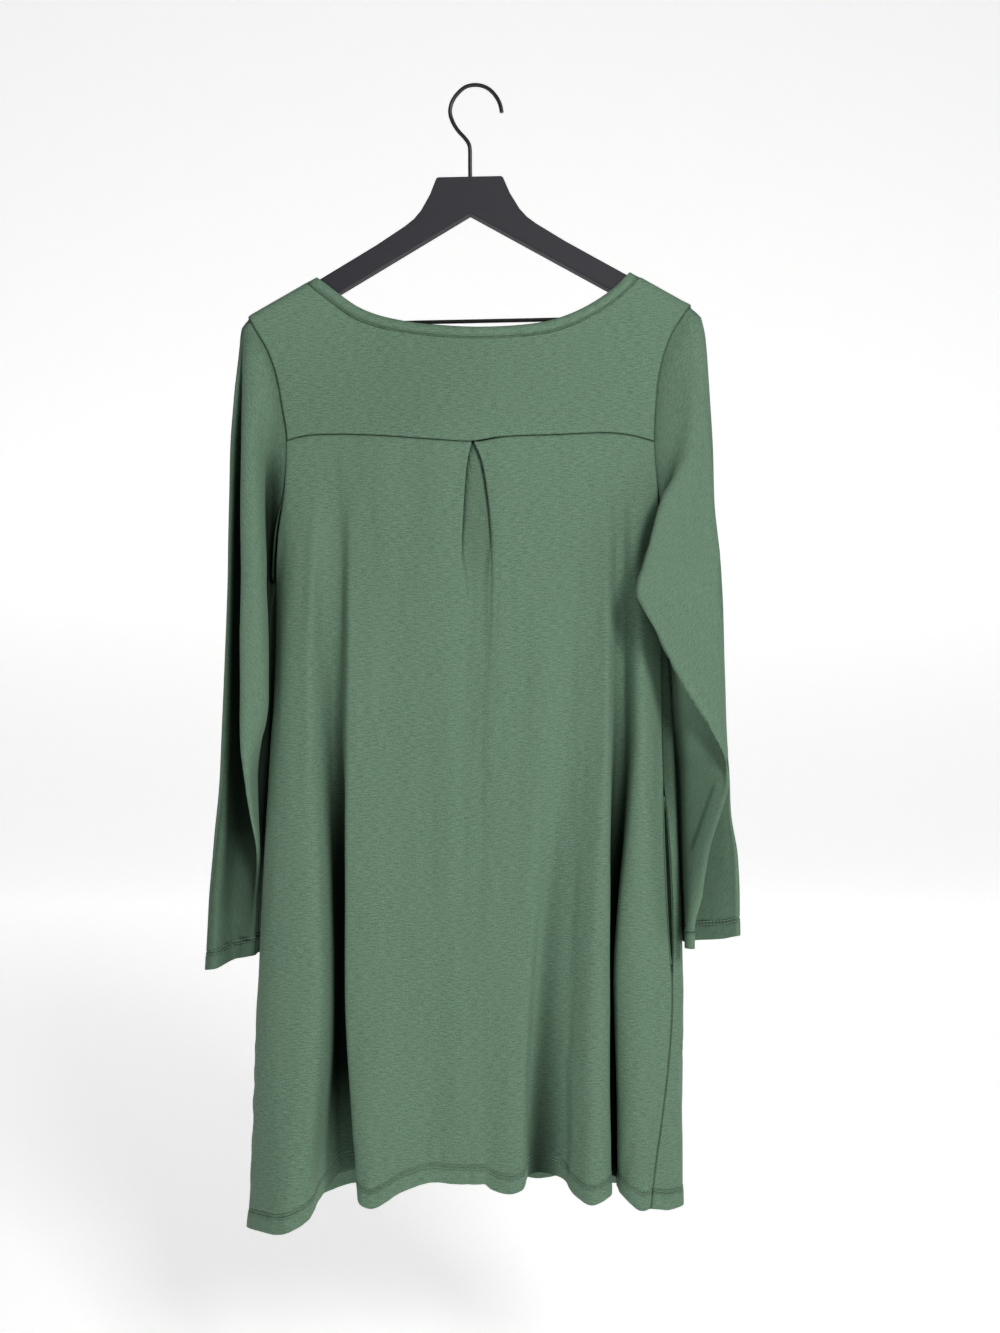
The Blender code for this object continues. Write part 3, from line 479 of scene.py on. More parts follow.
yoke_shares = np.linspace(0, 1, YOKE_COLUMNS)
seam_line = rounded(YOKE_SEAM, 8)
yoke_bottom = points_at(seam_line, yoke_shares * path_lengths(seam_line)[-1])
yoke_top, yoke_neck_columns = top_line(BACK_NECKLINE, yoke_shares)
yoke_grid = upper_grid(yoke_top, yoke_bottom, -1, BACK_FULLNESS)
yoke_grid[:, :, 2] += SEAM_GAP * UPPER_ROWS[:, None]
from_left, from_right = side_distances(yoke_grid)
from_seam = flat_lengths(yoke_grid)[1]
from_seam = from_seam[-1:] - from_seam
nearest_seam = np.minimum(np.minimum(from_left, from_right), from_seam)
yoke_relief = ditch(nearest_seam, 0.6) + ripples(yoke_grid, 3.1, 60, 90, 0.7) * eased(nearest_seam / 10)
yoke_relief[0] = 0
yoke_normals = grid_normals(yoke_grid, -1)
yoke_cloth = yoke_grid + yoke_normals * yoke_relief[..., None]
# Painted shade along the yoke's seams
yoke_shade = 0.55 * nearness(nearest_seam, 0.7)
yoke = dress_cloth("jersey_back_yoke", yoke_cloth, yoke_shade, jersey, level=1.0)
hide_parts("back_yoke")
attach(yoke, "root")


# Back panel
# The swinging back below the yoke, one layer of the same jersey cut wide at the hem. An inverted
# pleat is sewn under the yoke seam's middle, and the flare falls in tall uneven folds to a hem.
UNDERARM_SHARE = 0.176
WAIST_SHARE = 0.37
THIGH_SHARE = 0.73
FOLD_SHARES = (0.0, WAIST_SHARE, THIGH_SHARE, 1.0)
# Where the folds begin, and the share of the way down in which they and the deep ones become whole
FOLDS_BEGIN = 0.04
FOLDS_GROW = 0.26
DEEP_FOLDS_GROW = 0.62
DEEP_FOLDS = ("left wall", "left recess", "behind centre", "slit left", "slit right")
# Folds from the left side seam to the right one:
# name, x at yoke, waist, thigh and hem, y at waist, thigh and hem, z at hem
BACK_FOLDS = (
    ("left seam", -177, -189, -203, -210, 0, 2, 2, -1079),
    ("left edge", -173, -190, -204, -211, -12, -14, -20, -1074),
    ("left front", -167, -181, -193, -194, -25, -32, -46, -1067),
    ("left lobe", -155, -163, -170, -171, -32, -42, -64, -1062),
    ("left lobe end", -147, -152, -143, -153, -34, -42, -56, -1054),
    ("left wall", -139, -142, -134, -142, -24, -24, -26, -1042),
    ("left recess", -131, -133, -127, -128, -10, -4, 2, -1031),
    ("behind centre", -124, -125, -108, -101, -16, -8, -10, -1026),
    ("centre edge", -116, -117, -119, -106, -33, -36, -52, -1037),
    ("centre left", -110, -111, -107, -93, -34, -40, -60, -1041),
    ("centre rise", -83, -83, -80, -67, -33, -38, -48, -1031),
    ("centre flat", -53, -54, -52, -41, -33, -36, -38, -1026),
    ("pleat left", -31, -29, -24, -20, -34, -37, -38, -1027),
    ("pleat right", 28, 22, 18, 16, -34, -37, -40, -1031),
    ("centre dip", 52, 44, 37, 32, -33, -38, -44, -1034),
    ("centre right", 76, 66, 50, 44, -33, -37, -40, -1031),
    ("right wall", 91, 80, 57, 49, -30, -29, -22, -1026),
    ("right recess", 100, 90, 66, 58, -28, -23, -17, -1024),
    ("roll wall", 111, 104, 86, 83, -30, -28, -26, -1027),
    ("roll left", 117, 111, 95, 92, -32, -35, -42, -1035),
    ("roll crest", 123, 122, 110, 107, -35, -43, -54, -1040),
    ("roll right", 127, 126, 123, 124, -32, -36, -44, -1035),
    ("slit left", 132, 134, 125, 126.5, -12, -5, 0, -1034),
    ("slit right", 138, 141, 131, 133, -10, -5, 0, -1034),
    ("flap left", 144, 151, 133, 136, -30, -30, -42, -1035),
    ("flap crest", 150, 158, 153, 151, -31, -37, -54, -1045),
    ("right seam", 169, 177, 185, 161, -6, -20, -50, -1045),
)
# The inverted pleat, a row for each height: share down, centre x, half of its opening
PLEAT_ROWS = (
    (0.0, -1.5, 1.5), (0.011, -0.7, 4.4), (0.03, 0.2, 7.8), (0.063, 1.1, 10.8), (0.097, 2.0, 13.0),
    (0.143, 2.5, 15.4), (0.22, 3.0, 15.0), (0.4, -1.0, 10.0), (1.0, -2.0, 8.0),
)
PLEAT_HALF_WIDTH = 25.0
PLEAT_PITCH = 2.6
PLEAT_END = 0.22
PLEAT_FLATTENS = (0.12, 0.18)
PLEAT_HEM_Z = -1027.0
PLEAT_FACE_DEPTHS = (32.6, 34.0, 37.0, 38.5)
# Shade inside the pleat: how wide its left and right dark edges are, how dark they and the rest are,
# and where on the way down it begins to fade and over what share of it
PLEAT_EDGE_WIDTHS = (2.8, 1.7)
PLEAT_EDGE_SHADE = 0.9
PLEAT_INNER_SHADE = 0.12
PLEAT_FADE_BEGINS = 0.12
PLEAT_FADE_LENGTH = 0.09
CHANNEL_DEEP = 1.8
SKIRT_LENGTH = 715.0
# Steps down the skirt: close rows at the yoke seam, and at the hem where the turn-up is sewn
HEM_STEPS = np.array([34, 28, 23, 20, 18.4, 17, 15.5, 14, 12.6, 11, 8, 4, 1.2, 0])
SKIRT_ROWS = np.concatenate([[0, 0.0012, 0.0026, 0.005], np.linspace(0.009, 0.945, 100),
                             1 - HEM_STEPS / SKIRT_LENGTH])
# The side seams are drawn nearly shut, so that no light shows through them
SIDE_GAP = 0.06
# The least angle between the two panels, in radians, that the trimming of a seam allows for
SHARPEST_SEAM = 0.35
MOUTH_TOP = 0.46
MOUTH_BOTTOM = 0.71
MOUTH_GAPE = 8.0
STEP_ACROSS = 2.6
SHADE_DEPTH = 29.0
SHADE_REACH = 15.0


def fold_lines(folds, way, fullness):
    """Each fold's line from the yoke seam to the hem, as rows by folds by places."""
    lines = []
    for name, x_yoke, x_waist, x_thigh, x_hem, y_waist, y_thigh, y_hem, z_hem in folds:
        if name.endswith("seam"):
            armhole = ARMHOLE_LEFT if name == "left seam" else ARMHOLE_RIGHT
            line = armhole_points(armhole, 1 + np.minimum(SKIRT_ROWS / UNDERARM_SHARE, 1), way, fullness)
            below = SKIRT_ROWS > UNDERARM_SHARE
            share = SKIRT_ROWS[below]
            end = armhole_points(armhole, [2.0], way, fullness)[0]
            knots = (UNDERARM_SHARE, WAIST_SHARE, THIGH_SHARE, 1.0)
            line[below, 0] = through(knots, (end[0], x_waist, x_thigh, x_hem), share)
            line[below, 1] = through(knots, (0.0, y_waist, y_thigh, y_hem), share)
            line[below, 2] = end[2] + (z_hem - end[2]) * (share - UNDERARM_SHARE) / (1 - UNDERARM_SHARE)
        else:
            z_yoke = np.interp(x_yoke, seam_line[:, 0], seam_line[:, 1])
            y_yoke = way * upper_depth(x_yoke, z_yoke, fullness)
            x = through(FOLD_SHARES, (x_yoke, x_waist, x_thigh, x_hem), SKIRT_ROWS)
            folded = through(FOLD_SHARES[1:], (y_waist, y_thigh, y_hem), SKIRT_ROWS)
            grow = DEEP_FOLDS_GROW if name in DEEP_FOLDS else FOLDS_GROW
            y = y_yoke + (folded - y_yoke) * eased((SKIRT_ROWS - FOLDS_BEGIN) / grow)
            z = z_yoke + (z_hem - z_yoke) * SKIRT_ROWS
            line = np.stack([x, y, z], axis=-1)
        lines.append(line)
        if name == "pleat left":
            lines += pleat_lines()
    return np.stack(lines, axis=1)


def pleat_lines():
    """The inverted pleat between the two pleat folds: each side turns under, then out again."""
    shares, centres, openings = zip(*PLEAT_ROWS)
    centre = through(shares, centres, SKIRT_ROWS)
    face = through(shares, openings, SKIRT_ROWS)
    under = 1 - eased(SKIRT_ROWS / PLEAT_END)
    pitch = PLEAT_PITCH * (1 - eased((SKIRT_ROWS - PLEAT_FLATTENS[0]) / PLEAT_FLATTENS[1]))
    z_yoke = np.interp(centre, seam_line[:, 0], seam_line[:, 1])
    z = z_yoke + (PLEAT_HEM_Z - z_yoke) * SKIRT_ROWS
    y_face = -through(FOLD_SHARES, PLEAT_FACE_DEPTHS, SKIRT_ROWS)
    half_width = np.full_like(face, PLEAT_HALF_WIDTH)
    turned = (face + 4, face, face, half_width, half_width)
    opened = (face + 4, face, 0.8 * face, 0.6 * face, 0.3 * face)
    lines = []
    for side in (-1, 1):
        half = []
        for a, b, layer in zip(opened, turned, (0, 0, 1, 1, 2)):
            across = a + (b - a) * under
            half.append(np.stack([centre + side * across, y_face + layer * pitch, z], axis=-1))
        lines.append(half)
    middle = np.stack([centre, y_face + 2 * pitch, z], axis=-1)
    return [*lines[0], middle, *lines[1][::-1]]


def skirt_grid(folds, way, fullness):
    lines = fold_lines(folds, way, fullness)
    widths = np.linalg.norm(np.diff(lines, axis=1), axis=2)
    counts = [max(3, int(math.ceil(width / STEP_ACROSS))) for width in widths.max(axis=0)]
    return curves(lines, counts)


def mouth_gape(shares):
    """How wide a side seam stands open, at the pocket mouth."""
    inside = np.clip((shares - MOUTH_TOP) / (MOUTH_BOTTOM - MOUTH_TOP), 0, 1)
    return MOUTH_GAPE * np.sin(math.pi * inside) ** 0.7


def trimmed(row, start, end, reach=30.0):
    """A row of points with lengths cut off its two ends, its points near them moved along it."""
    lengths = path_lengths(row)
    total = lengths[-1]
    knots = (0, reach, total - reach, total)
    return points_at(row, np.interp(lengths, knots, (start, reach, total - reach, total - end)))


def skirts():
    """The back panel and the front's part below the yoke line, trimmed to meet at their side seams."""
    back = skirt_grid(BACK_FOLDS, -1, BACK_FULLNESS)
    front = skirt_grid(FRONT_FOLDS, 1, FRONT_FULLNESS)[:, ::-1]
    for r, share in enumerate(SKIRT_ROWS):
        cuts = []
        for edge, beside in ((0, 2), (-1, -3)):
            cut = (SIDE_GAP + mouth_gape(share)) / 2
            if share >= UNDERARM_SHARE:
                corner = back[r, edge]
                cosine = unit(back[r, beside] - corner) @ unit(front[r, beside] - corner)
                cut += CLOTH_THICK / 2 / math.tan(max(math.acos(cosine), SHARPEST_SEAM) / 2)
            cuts.append(cut)
        back[r] = trimmed(back[r], *cuts)
        front[r] = trimmed(front[r], *cuts)
    back[:, :, 2] -= SEAM_GAP * (1 - SKIRT_ROWS[:, None])
    return back, front


# Front folds, from the right side seam to the left one, with the same columns
FRONT_FOLDS = (
    ("right seam", 169, 177, 185, 161, -6, -20, -50, -1045),
    ("right wrap", 167, 185, 194, 178, -2, -12, -42, -1049),
    ("right edge", 164, 187, 197, 194, 6, 1, -20, -1052),
    ("right turn", 160, 184, 193, 192, 14, 14, 6, -1053),
    ("right lobe", 144, 168, 176, 170, 20, 26, 32, -1050),
    ("right hollow", 121, 138, 140, 132, 18, 16, 12, -1046),
    ("inner right lobe", 98, 110, 106, 96, 21, 25, 34, -1044),
    ("inner right hollow", 72, 82, 74, 60, 19, 17, 14, -1042),
    ("centre lobe", 40, 46, 40, 26, 21, 24, 32, -1042),
    ("centre hollow", 4, 6, 0, -10, 20, 18, 14, -1042),
    ("inner left lobe", -34, -36, -42, -48, 21, 25, 33, -1044),
    ("inner left hollow", -72, -78, -82, -86, 19, 16, 12, -1048),
    ("left lobe", -108, -118, -122, -124, 21, 26, 36, -1056),
    ("left hollow", -136, -148, -156, -160, 18, 18, 18, -1064),
    ("left turn", -160, -176, -190, -196, 16, 20, 28, -1074),
    ("left back", -170, -188, -202, -209, 10, 14, 16, -1079),
    ("left seam", -177, -189, -203, -210, 0, 2, 2, -1079),
)


# The hem's turn-up, and heights above the edge of its two rows of stitching
HEM_STITCHES = (14.0, 17.0)
TURN_UP_TOP = 17.5
TURN_UP_THICK = 0.45
FURROW_DEEP = 0.55
FURROW_SHADE = 0.6


def hem_relief(above_hem):
    """The turn-up's extra layer below its stitching, and the two furrows that the stitches pull in."""
    layer = TURN_UP_THICK * eased((TURN_UP_TOP - above_hem) / 2.5)
    return layer + sum(ditch(above_hem - height, FURROW_DEEP, 0.9) for height in HEM_STITCHES)


def hem_shade(above_hem):
    """Painted shade of the two stitched furrows."""
    return sum(FURROW_SHADE * nearness(above_hem - height, 0.75) for height in HEM_STITCHES)


# How dark the shade painted into the back's deep creases is, how far below the yoke that begins and over
# what length it grows, and how much lighter it is in the wide left one near the hem, from a height above it
DEEP_SHADE = 0.97
DEEP_SHADE_BEGINS = 150.0
DEEP_SHADE_GROWS = 270.0
LEFT_HEM_LIGHTER = 0.55
LEFT_HEM_HEIGHT = 110.0
# How far from a side seam, and how far above the hem, the puckers beside it reach
SIDE_PUCKER_REACH = 28.0
SIDE_PUCKER_TOP = 250.0


def skirt_relief(grid, seed, from_top=None):
    """Swells, the hem's turn-up and drawn-in seams of a panel, and the shade painted at its seams, furrows
    and creases.
    """
    down = flat_lengths(grid)[1]
    above_hem = down[-1:] - down
    from_left, from_right = side_distances(grid)
    side = np.minimum(from_left, from_right)
    relief = ripples(grid, seed, 26, 150, 1.5) + ripples(grid, seed + 5, 9, 60, 0.5)
    # The hem's stitching draws the cloth into short puckers, more of them near the side seams
    puckers = ripples(grid, seed + 9, 7, 26, 1.1) * np.exp(-(above_hem - 16) ** 2 / 900)
    beside_seams = nearness(side, SIDE_PUCKER_REACH)
    low_down = eased((SIDE_PUCKER_TOP - above_hem) / 120)
    puckers += ripples(grid, seed + 2, 8, 20, 2.6) * beside_seams * low_down
    relief = relief * eased(side / 10) + puckers * eased(side / 4) + hem_relief(above_hem) + ditch(side, 0.6)
    # Painted shade in the hem's furrows and beside the side seams
    shade = hem_shade(above_hem) + 0.5 * nearness(side, 0.8)
    if from_top is not None:
        relief = relief * eased(from_top / 12) + ditch(from_top, 0.6)
        # Painted shade beside the yoke seam
        shade = np.maximum(shade, 0.6 * nearness(from_top, 0.8))
        # Painted shade darkens the back's deep creases nearly to black, as they look in any soft light
        inside = eased((SHADE_DEPTH + grid[..., 1]) / SHADE_REACH) * eased((side - 35) / 20)
        on_left = grid[..., 0] < 0
        inside *= 1 - LEFT_HEM_LIGHTER * eased((LEFT_HEM_HEIGHT - above_hem) / 80) * on_left
        shade = np.maximum(shade, DEEP_SHADE * inside * eased((down - DEEP_SHADE_BEGINS) / DEEP_SHADE_GROWS))
    return relief, shade


# Core-spun polyester sewing thread, dyed to match and a little shinier than the jersey
thread, thread_shader = new_material("green_polyester_sewing_thread", "#7C9882", 0.45)
tree = thread.node_tree
place = add_node(tree, "ShaderNodeTexCoord").outputs["Object"]
# Its two plies' twist is drawn as spots 0.8 mm apart
twist = speckle(tree, place, 1250.0, 1.0)
tone = between(tree, twist, linear("#6C8872"), linear("#8CA892"))
tree.links.new(tone, thread_shader.inputs["Base Color"])
STITCH_LENGTH = 3.2
STITCH_STEPS = 6
THREAD_RADIUS = 0.26
THREAD_SIDES = 5
# How far the thread lies below the cloth's face, rises in each stitch, sinks in full shade, and how
# long its tapered ends are
THREAD_SUNK = 0.3
THREAD_RISE = 0.5
SHADE_SINK = 0.6
THREAD_TAPER = 0.5
CLEAR_OF_HEM = 30.0


def stitching(name, cloth, normals, above_edge, shade, height, wall=CLOTH_THICK):
    """A row of lockstitches above a cloth's edge: one thread that dips in at each stitch's end.

    It sinks into the cloth where the cloth just above the hem is in deep painted shade.
    """
    columns = []
    for k in range(cloth.shape[1]):
        above = above_edge[::-1, k]
        both = np.concatenate([cloth[::-1, k], normals[::-1, k]], axis=1)
        deep = np.interp(CLEAR_OF_HEM, above, shade[::-1, k])
        columns.append([*[np.interp(height, above, values) for values in both.T], deep])
    line = np.array(columns)
    lengths = path_lengths(line[:, :3])
    count = int(lengths[-1] / STITCH_LENGTH) * STITCH_STEPS + 1
    along = np.linspace(0, lengths[-1], count)
    line = np.stack([np.interp(along, lengths, line[:, k]) for k in range(7)], axis=1)
    out = unit(line[:, 3:6])
    ahead = unit(np.gradient(line[:, :3], axis=0))
    beside = unit(np.cross(out, ahead))
    rise = np.sin(math.pi * (np.arange(count) % STITCH_STEPS) / STITCH_STEPS) ** 0.6
    lift = wall / 2 - THREAD_SUNK + THREAD_RISE * rise - SHADE_SINK * line[:, 6]
    from_end = np.minimum(along, lengths[-1] - along)
    radius = THREAD_RADIUS * np.minimum(1, from_end / THREAD_TAPER)
    turns = np.linspace(0, 2 * math.pi, THREAD_SIDES + 1)
    rings = []
    for a in turns:
        raised = out * (lift + radius * math.cos(a))[:, None]
        rings.append(line[:, :3] + raised + beside * (radius * math.sin(a))[:, None])
    rings[-1] = rings[0]
    piece = new_grid(name, np.array(rings), thread)
    select_only(piece)
    bpy.ops.object.mode_set(mode="EDIT")
    bpy.ops.mesh.select_all(action="SELECT")
    bpy.ops.mesh.remove_doubles(threshold=1e-6)
    bpy.ops.mesh.normals_make_consistent(inside=False)
    bpy.ops.object.mode_set(mode="OBJECT")
    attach(piece, "root")
    return piece


def hem_rows(name, cloth, normals, above_edge, shade):
    """The two rows of twin-needle stitching round a hem or a cuff."""
    return [stitching(f"{name}_stitches_{k}", cloth, normals, above_edge, shade, height)
            for k, height in enumerate(HEM_STITCHES)]


back_skirt, front_skirt = skirts()
down_back = flat_lengths(back_skirt)[1]
back_relief, back_shade = skirt_relief(back_skirt, 1.7, down_back)
# Painted shade darkens the pleat's inside most beside its two edges, and a shallow channel runs on down from
# it
pleat_centre = through(*zip(*[row[:2] for row in PLEAT_ROWS]), SKIRT_ROWS)[:, None]
pleat_half = through(*zip(*[row[::2] for row in PLEAT_ROWS]), SKIRT_ROWS)[:, None]
pleat_face = through(FOLD_SHARES, PLEAT_FACE_DEPTHS, SKIRT_ROWS)[:, None]
from_centre = back_skirt[..., 0] - pleat_centre
behind_face = back_skirt[..., 1] > 0.6 * PLEAT_PITCH - pleat_face
edge_width = np.where(from_centre < 0, *PLEAT_EDGE_WIDTHS)
edge_dark = PLEAT_EDGE_SHADE * nearness(pleat_half - abs(from_centre), edge_width)
in_pleat = behind_face & (abs(from_centre) < pleat_half + 2)
inner_dark = np.where(in_pleat, np.maximum(edge_dark, PLEAT_INNER_SHADE), 0)
rows_down = SKIRT_ROWS[:, None]
pleat_fade = eased((rows_down - PLEAT_FADE_BEGINS) / PLEAT_FADE_LENGTH)
back_shade = np.maximum(back_shade, inner_dark * (1 - pleat_fade))
# The channel lies between 20 mm left and 16 mm right of the pleat's centre, 0.16 to 0.85 of the way down
channel = eased((from_centre + 20) / 14) * (1 - eased((from_centre - 7) / 9))
channel *= eased((rows_down - 0.16) / 0.1) * (1 - eased((rows_down - 0.45) / 0.4))
back_relief -= CHANNEL_DEEP * channel
back_normals = grid_normals(back_skirt, -1)
back_cloth = back_skirt + back_normals * back_relief[..., None]
back_panel = dress_cloth("jersey_back_panel", back_cloth, back_shade, jersey)
above_back_hem = down_back[-1:] - down_back
back_rows = hem_rows("back_hem", back_cloth, back_normals, above_back_hem, back_shade)
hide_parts("back_panel")
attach(back_panel, "root")


# Front panel
# The front in one piece from the shoulders to the hem, with a scooped neck. It isn't seen in the
# photograph, so it is cut as the back is, without the yoke and pleat, and its folds are guessed.
FRONT_NECK_DROP = 102.0
# How far below the origin the lapping sleeve's shade on the front begins, and begins to fade
LAP_TOP = 460.0
LAP_BOTTOM = 640.0


def front_neckline():
    """The front neck edge, a scoop below the neck points."""
    half = (RIGHT_NECK[0] - LEFT_NECK[0]) / 2
    middle = (RIGHT_NECK[0] + LEFT_NECK[0]) / 2
    top = (LEFT_NECK[1] + RIGHT_NECK[1]) / 2
    angles = math.pi * np.arange(1, 14) / 14
    return [(middle - half * math.cos(a), top - FRONT_NECK_DROP * math.sin(a) ** 1.25) for a in angles]


bottom_line = front_skirt[0][:, [0, 2]]
bottom_lengths = path_lengths(bottom_line)
front_top, front_neck_columns = top_line(front_neckline(), bottom_lengths / bottom_lengths[-1])
front_upper = upper_grid(front_top, bottom_line, 1, FRONT_FULLNESS)
front_grid = np.concatenate([front_upper[:-1], front_skirt])
front_relief, front_shade = skirt_relief(front_grid, 4.3)
# Painted shadow: its edge beside the right side seam is darkened as if in the shade of the sleeve that laps
# it
lapped = eased((-front_grid[..., 2] - LAP_TOP) / 50) * (1 - eased((-front_grid[..., 2] - LAP_BOTTOM) / 90))
front_shade = np.maximum(front_shade, 0.6 * lapped * nearness(side_distances(front_grid)[1], 18))
front_relief[0] = 0
front_relief[:len(UPPER_ROWS)] *= eased(np.linspace(0, 1, len(UPPER_ROWS)) * 3)[:, None]
front_normals = grid_normals(front_grid, 1)
front_cloth = front_grid + front_normals * front_relief[..., None]
front_panel = dress_cloth("jersey_front_panel", front_cloth, front_shade, jersey)
down_front = flat_lengths(front_grid)[1]
above_front_hem = down_front[-1:] - down_front
front_rows = hem_rows("front_hem", front_cloth, front_normals, above_front_hem, front_shade)
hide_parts("front_panel")
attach(front_panel, "root")


# Sleeves
# Long sleeves of one jersey piece each, set into the armholes and closed along the underarm. Empty,
# they collapse into deep creases. The right one is bent towards -Y, so its upper arm laps the body.
EDGE_TUCK = 1.9
EDGE_LAP = 0.6
UNDERARM_GAP = 3.6
LEFT_CUFF = (-836, -822)
RIGHT_CUFF = (-806, -813)
# Lines down the left sleeve's near face from its outer edge inwards, as knots of z, x and y
LEFT_NEAR_LINES = (
    ((-219, -217, 0), (-236, -221.5, -3), (-255, -223, -4), (-298, -228, -4), (-340, -230.5, -5),
     (-416, -232, -6), (-490, -233.8, -6), (-580, -237, -6), (-655, -240.7, -6), (-720, -246, -8),
     (-770, -250, -10), (-836, -252.5, -12)),
    ((-219, -217, -1), (-236, -220, -6), (-255, -221, -8), (-340, -227.5, -9), (-416, -229.5, -10),
     (-580, -234, -11), (-655, -236.5, -11), (-720, -239, -12), (-770, -242, -14), (-836, -244, -18)),
    ((-219, -216.8, -2), (-255, -219.5, -5), (-298, -221, -1), (-340, -222, 3), (-380, -222, 6),
     (-416, -221, 8), (-490, -219, 10), (-580, -220, 11), (-655, -221, 11), (-720, -226, 10),
     (-770, -229, 6), (-836, -230, 0)),
    ((-219, -216.6, -2.5), (-255, -218, -7), (-298, -218, -4), (-340, -216, 0), (-380, -213, 4),
     (-416, -209, 7), (-490, -206, 8), (-580, -206, 8), (-655, -206, 8), (-720, -208, 8),
     (-770, -214, 4), (-836, -220, -2)),
    ((-219, -216.4, -3), (-236, -218, -8), (-255, -216.5, -14), (-298, -216.2, -22),
     (-340, -215.1, -30), (-380, -214.7, -35), (-416, -214.4, -39), (-490, -214, -44),
     (-580, -213.8, -46), (-620, -213.7, -43), (-655, -211.5, -38), (-690, -207.6, -31),
     (-720, -204, -18), (-770, -208, -2), (-836, -211, 0)),
    ((-219, -216, -3.5), (-255, -209, -16), (-298, -207, -25), (-340, -206, -32), (-416, -203, -41),
     (-490, -202, -46), (-580, -202, -47), (-620, -205, -42), (-655, -208.5, -37), (-690, -206, -30),
     (-720, -203.5, -18), (-770, -207, 0), (-836, -210, 3)),
    ((-219, -215.5, -4), (-255, -201, -15), (-298, -198, -21), (-340, -200.5, -25), (-380, -199, -30),
     (-416, -197.5, -36), (-450, -195.5, -38), (-490, -194, -40), (-580, -191.5, -38), (-605, -195, -34),
     (-620, -200, -31), (-655, -206, -28), (-690, -204, -22), (-720, -202.5, -14), (-770, -206, 2),
     (-836, -209, 5)),
    ((-219, -215.2, -4), (-255, -196, -13), (-298, -191, -14), (-340, -193.5, -12), (-380, -195.5, -4),
     (-416, -196.5, 2), (-450, -197, 4), (-490, -197, 4), (-580, -198, 2), (-655, -203, 0),
     (-720, -203, 0), (-770, -206, 4), (-836, -208.5, 6)),
)
# The inner edge, how far the far face stands out, and how far it reaches past the inner edge
# behind the body, as knots of z and the value
LEFT_INNER_EDGE = ((-219, -215), (-255, -198), (-340, -186), (-415, -190), (-490, -195), (-580, -196),
                   (-655, -198), (-720, -202), (-770, -206), (-836, -208))
LEFT_FAR_DEPTH = ((-219, 3), (-234, 9), (-255, 11), (-340, 16), (-415, 20), (-490, 22), (-580, 24),
                  (-836, 25))
LEFT_FAR_PAST = ((-219, 0), (-415, 0), (-455, 5), (-655, 5), (-720, 3), (-836, 1))
RIGHT_NEAR_LINES = (
    ((-208, 207, 0), (-221, 215, 0), (-240, 219, -1), (-340, 225, 0), (-396, 227, 0), (-481, 231, 0),
     (-544, 235, 0), (-619, 238, 0), (-651, 241, 0), (-688, 243, 0), (-730, 249, 0), (-786, 251, 0),
     (-818, 251, 0)),
    ((-208, 207, -1.5), (-221, 214.5, -3), (-255, 217, -5), (-340, 221, -7), (-396, 224, -8),
     (-459, 228.7, -8), (-544, 232.3, -8), (-619, 236, -8), (-651, 239.5, -6), (-688, 240, -4),
     (-730, 243, -4), (-786, 243, -4), (-818, 243, -4)),
    ((-208, 207, -2), (-221, 213, -6), (-255, 213.5, -16), (-340, 217.5, -27), (-396, 221, -31),
     (-459, 226.5, -33), (-544, 230, -33), (-619, 234, -29), (-651, 237.5, -16), (-688, 236, -8),
     (-730, 236, -8), (-786, 234, -9), (-818, 234, -9)),
    ((-208, 206.5, -2.5), (-221, 210, -9), (-255, 210, -16), (-340, 209, -28), (-396, 201, -35),
     (-481, 185, -49), (-544, 203, -49), (-619, 230, -42), (-651, 233, -22), (-688, 221, -8),
     (-730, 208, -8), (-786, 199, -11), (-818, 199, -12)),
    ((-208, 206, -3), (-221, 208, -10), (-255, 206, -16), (-300, 203, -24), (-340, 200, -30),
     (-370, 188, -36), (-398, 171.5, -44), (-442, 158.3, -54), (-484, 146.2, -62), (-495, 151, -62),
     (-519, 164.5, -60), (-539, 174, -58), (-567, 189, -54), (-597.5, 209, -50), (-627, 226, -46),
     (-641, 232, -42), (-658, 234.4, -36), (-688, 227.5, -33), (-717, 218, -33), (-738, 214, -34),
     (-762, 210, -36), (-789.5, 203, -38), (-818, 202, -38)),
    ((-208, 206, -3), (-221, 203, -11), (-255, 199, -15), (-300, 196, -21), (-340, 191, -24),
     (-370, 183, -26), (-398, 180, -30), (-442, 175, -38), (-484, 168, -46), (-519, 180, -46),
     (-539, 190, -44), (-567, 204, -40), (-597.5, 221, -37), (-627, 231, -34), (-658, 231, -32),
     (-688, 222, -31), (-738, 208, -32), (-789, 199, -36), (-818, 198.5, -37)),
    ((-208, 205.5, -3), (-255, 190, -13), (-300, 184, -17), (-340, 180, -20), (-370, 177, -19),
     (-398, 180, -18), (-442, 184, -25), (-484, 180, -38), (-519, 183, -36), (-544, 188, -30),
     (-597, 195, -24), (-651, 197, -22), (-700, 198, -20), (-730, 198, -22), (-786, 197, -30),
     (-818, 196, -34)),
)
RIGHT_INNER_EDGE = ((-208, 205), (-221, 197), (-240, 188), (-340, 175), (-396, 178), (-481, 183),
                    (-544, 189), (-619, 193), (-651, 195.5), (-688, 197), (-730, 198), (-786, 200),
                    (-818, 202))
RIGHT_FAR_DEPTH = ((-208, 3), (-221, 9), (-240, 11), (-340, 16), (-396, 18), (-481, 20), (-730, 22),
                   (-818, 22))
RIGHT_FAR_PAST = ((-208, 0), (-430, 0), (-520, 5), (-651, 8), (-700, 8), (-760, 6), (-818, 4))
HALF_RING = 46
CUFF_LENGTH = 600.0
SLEEVE_ROWS = np.concatenate([[0, 0.004, 0.01, 0.018], np.linspace(0.03, 0.932, 84),
                              1 - HEM_STEPS / CUFF_LENGTH])
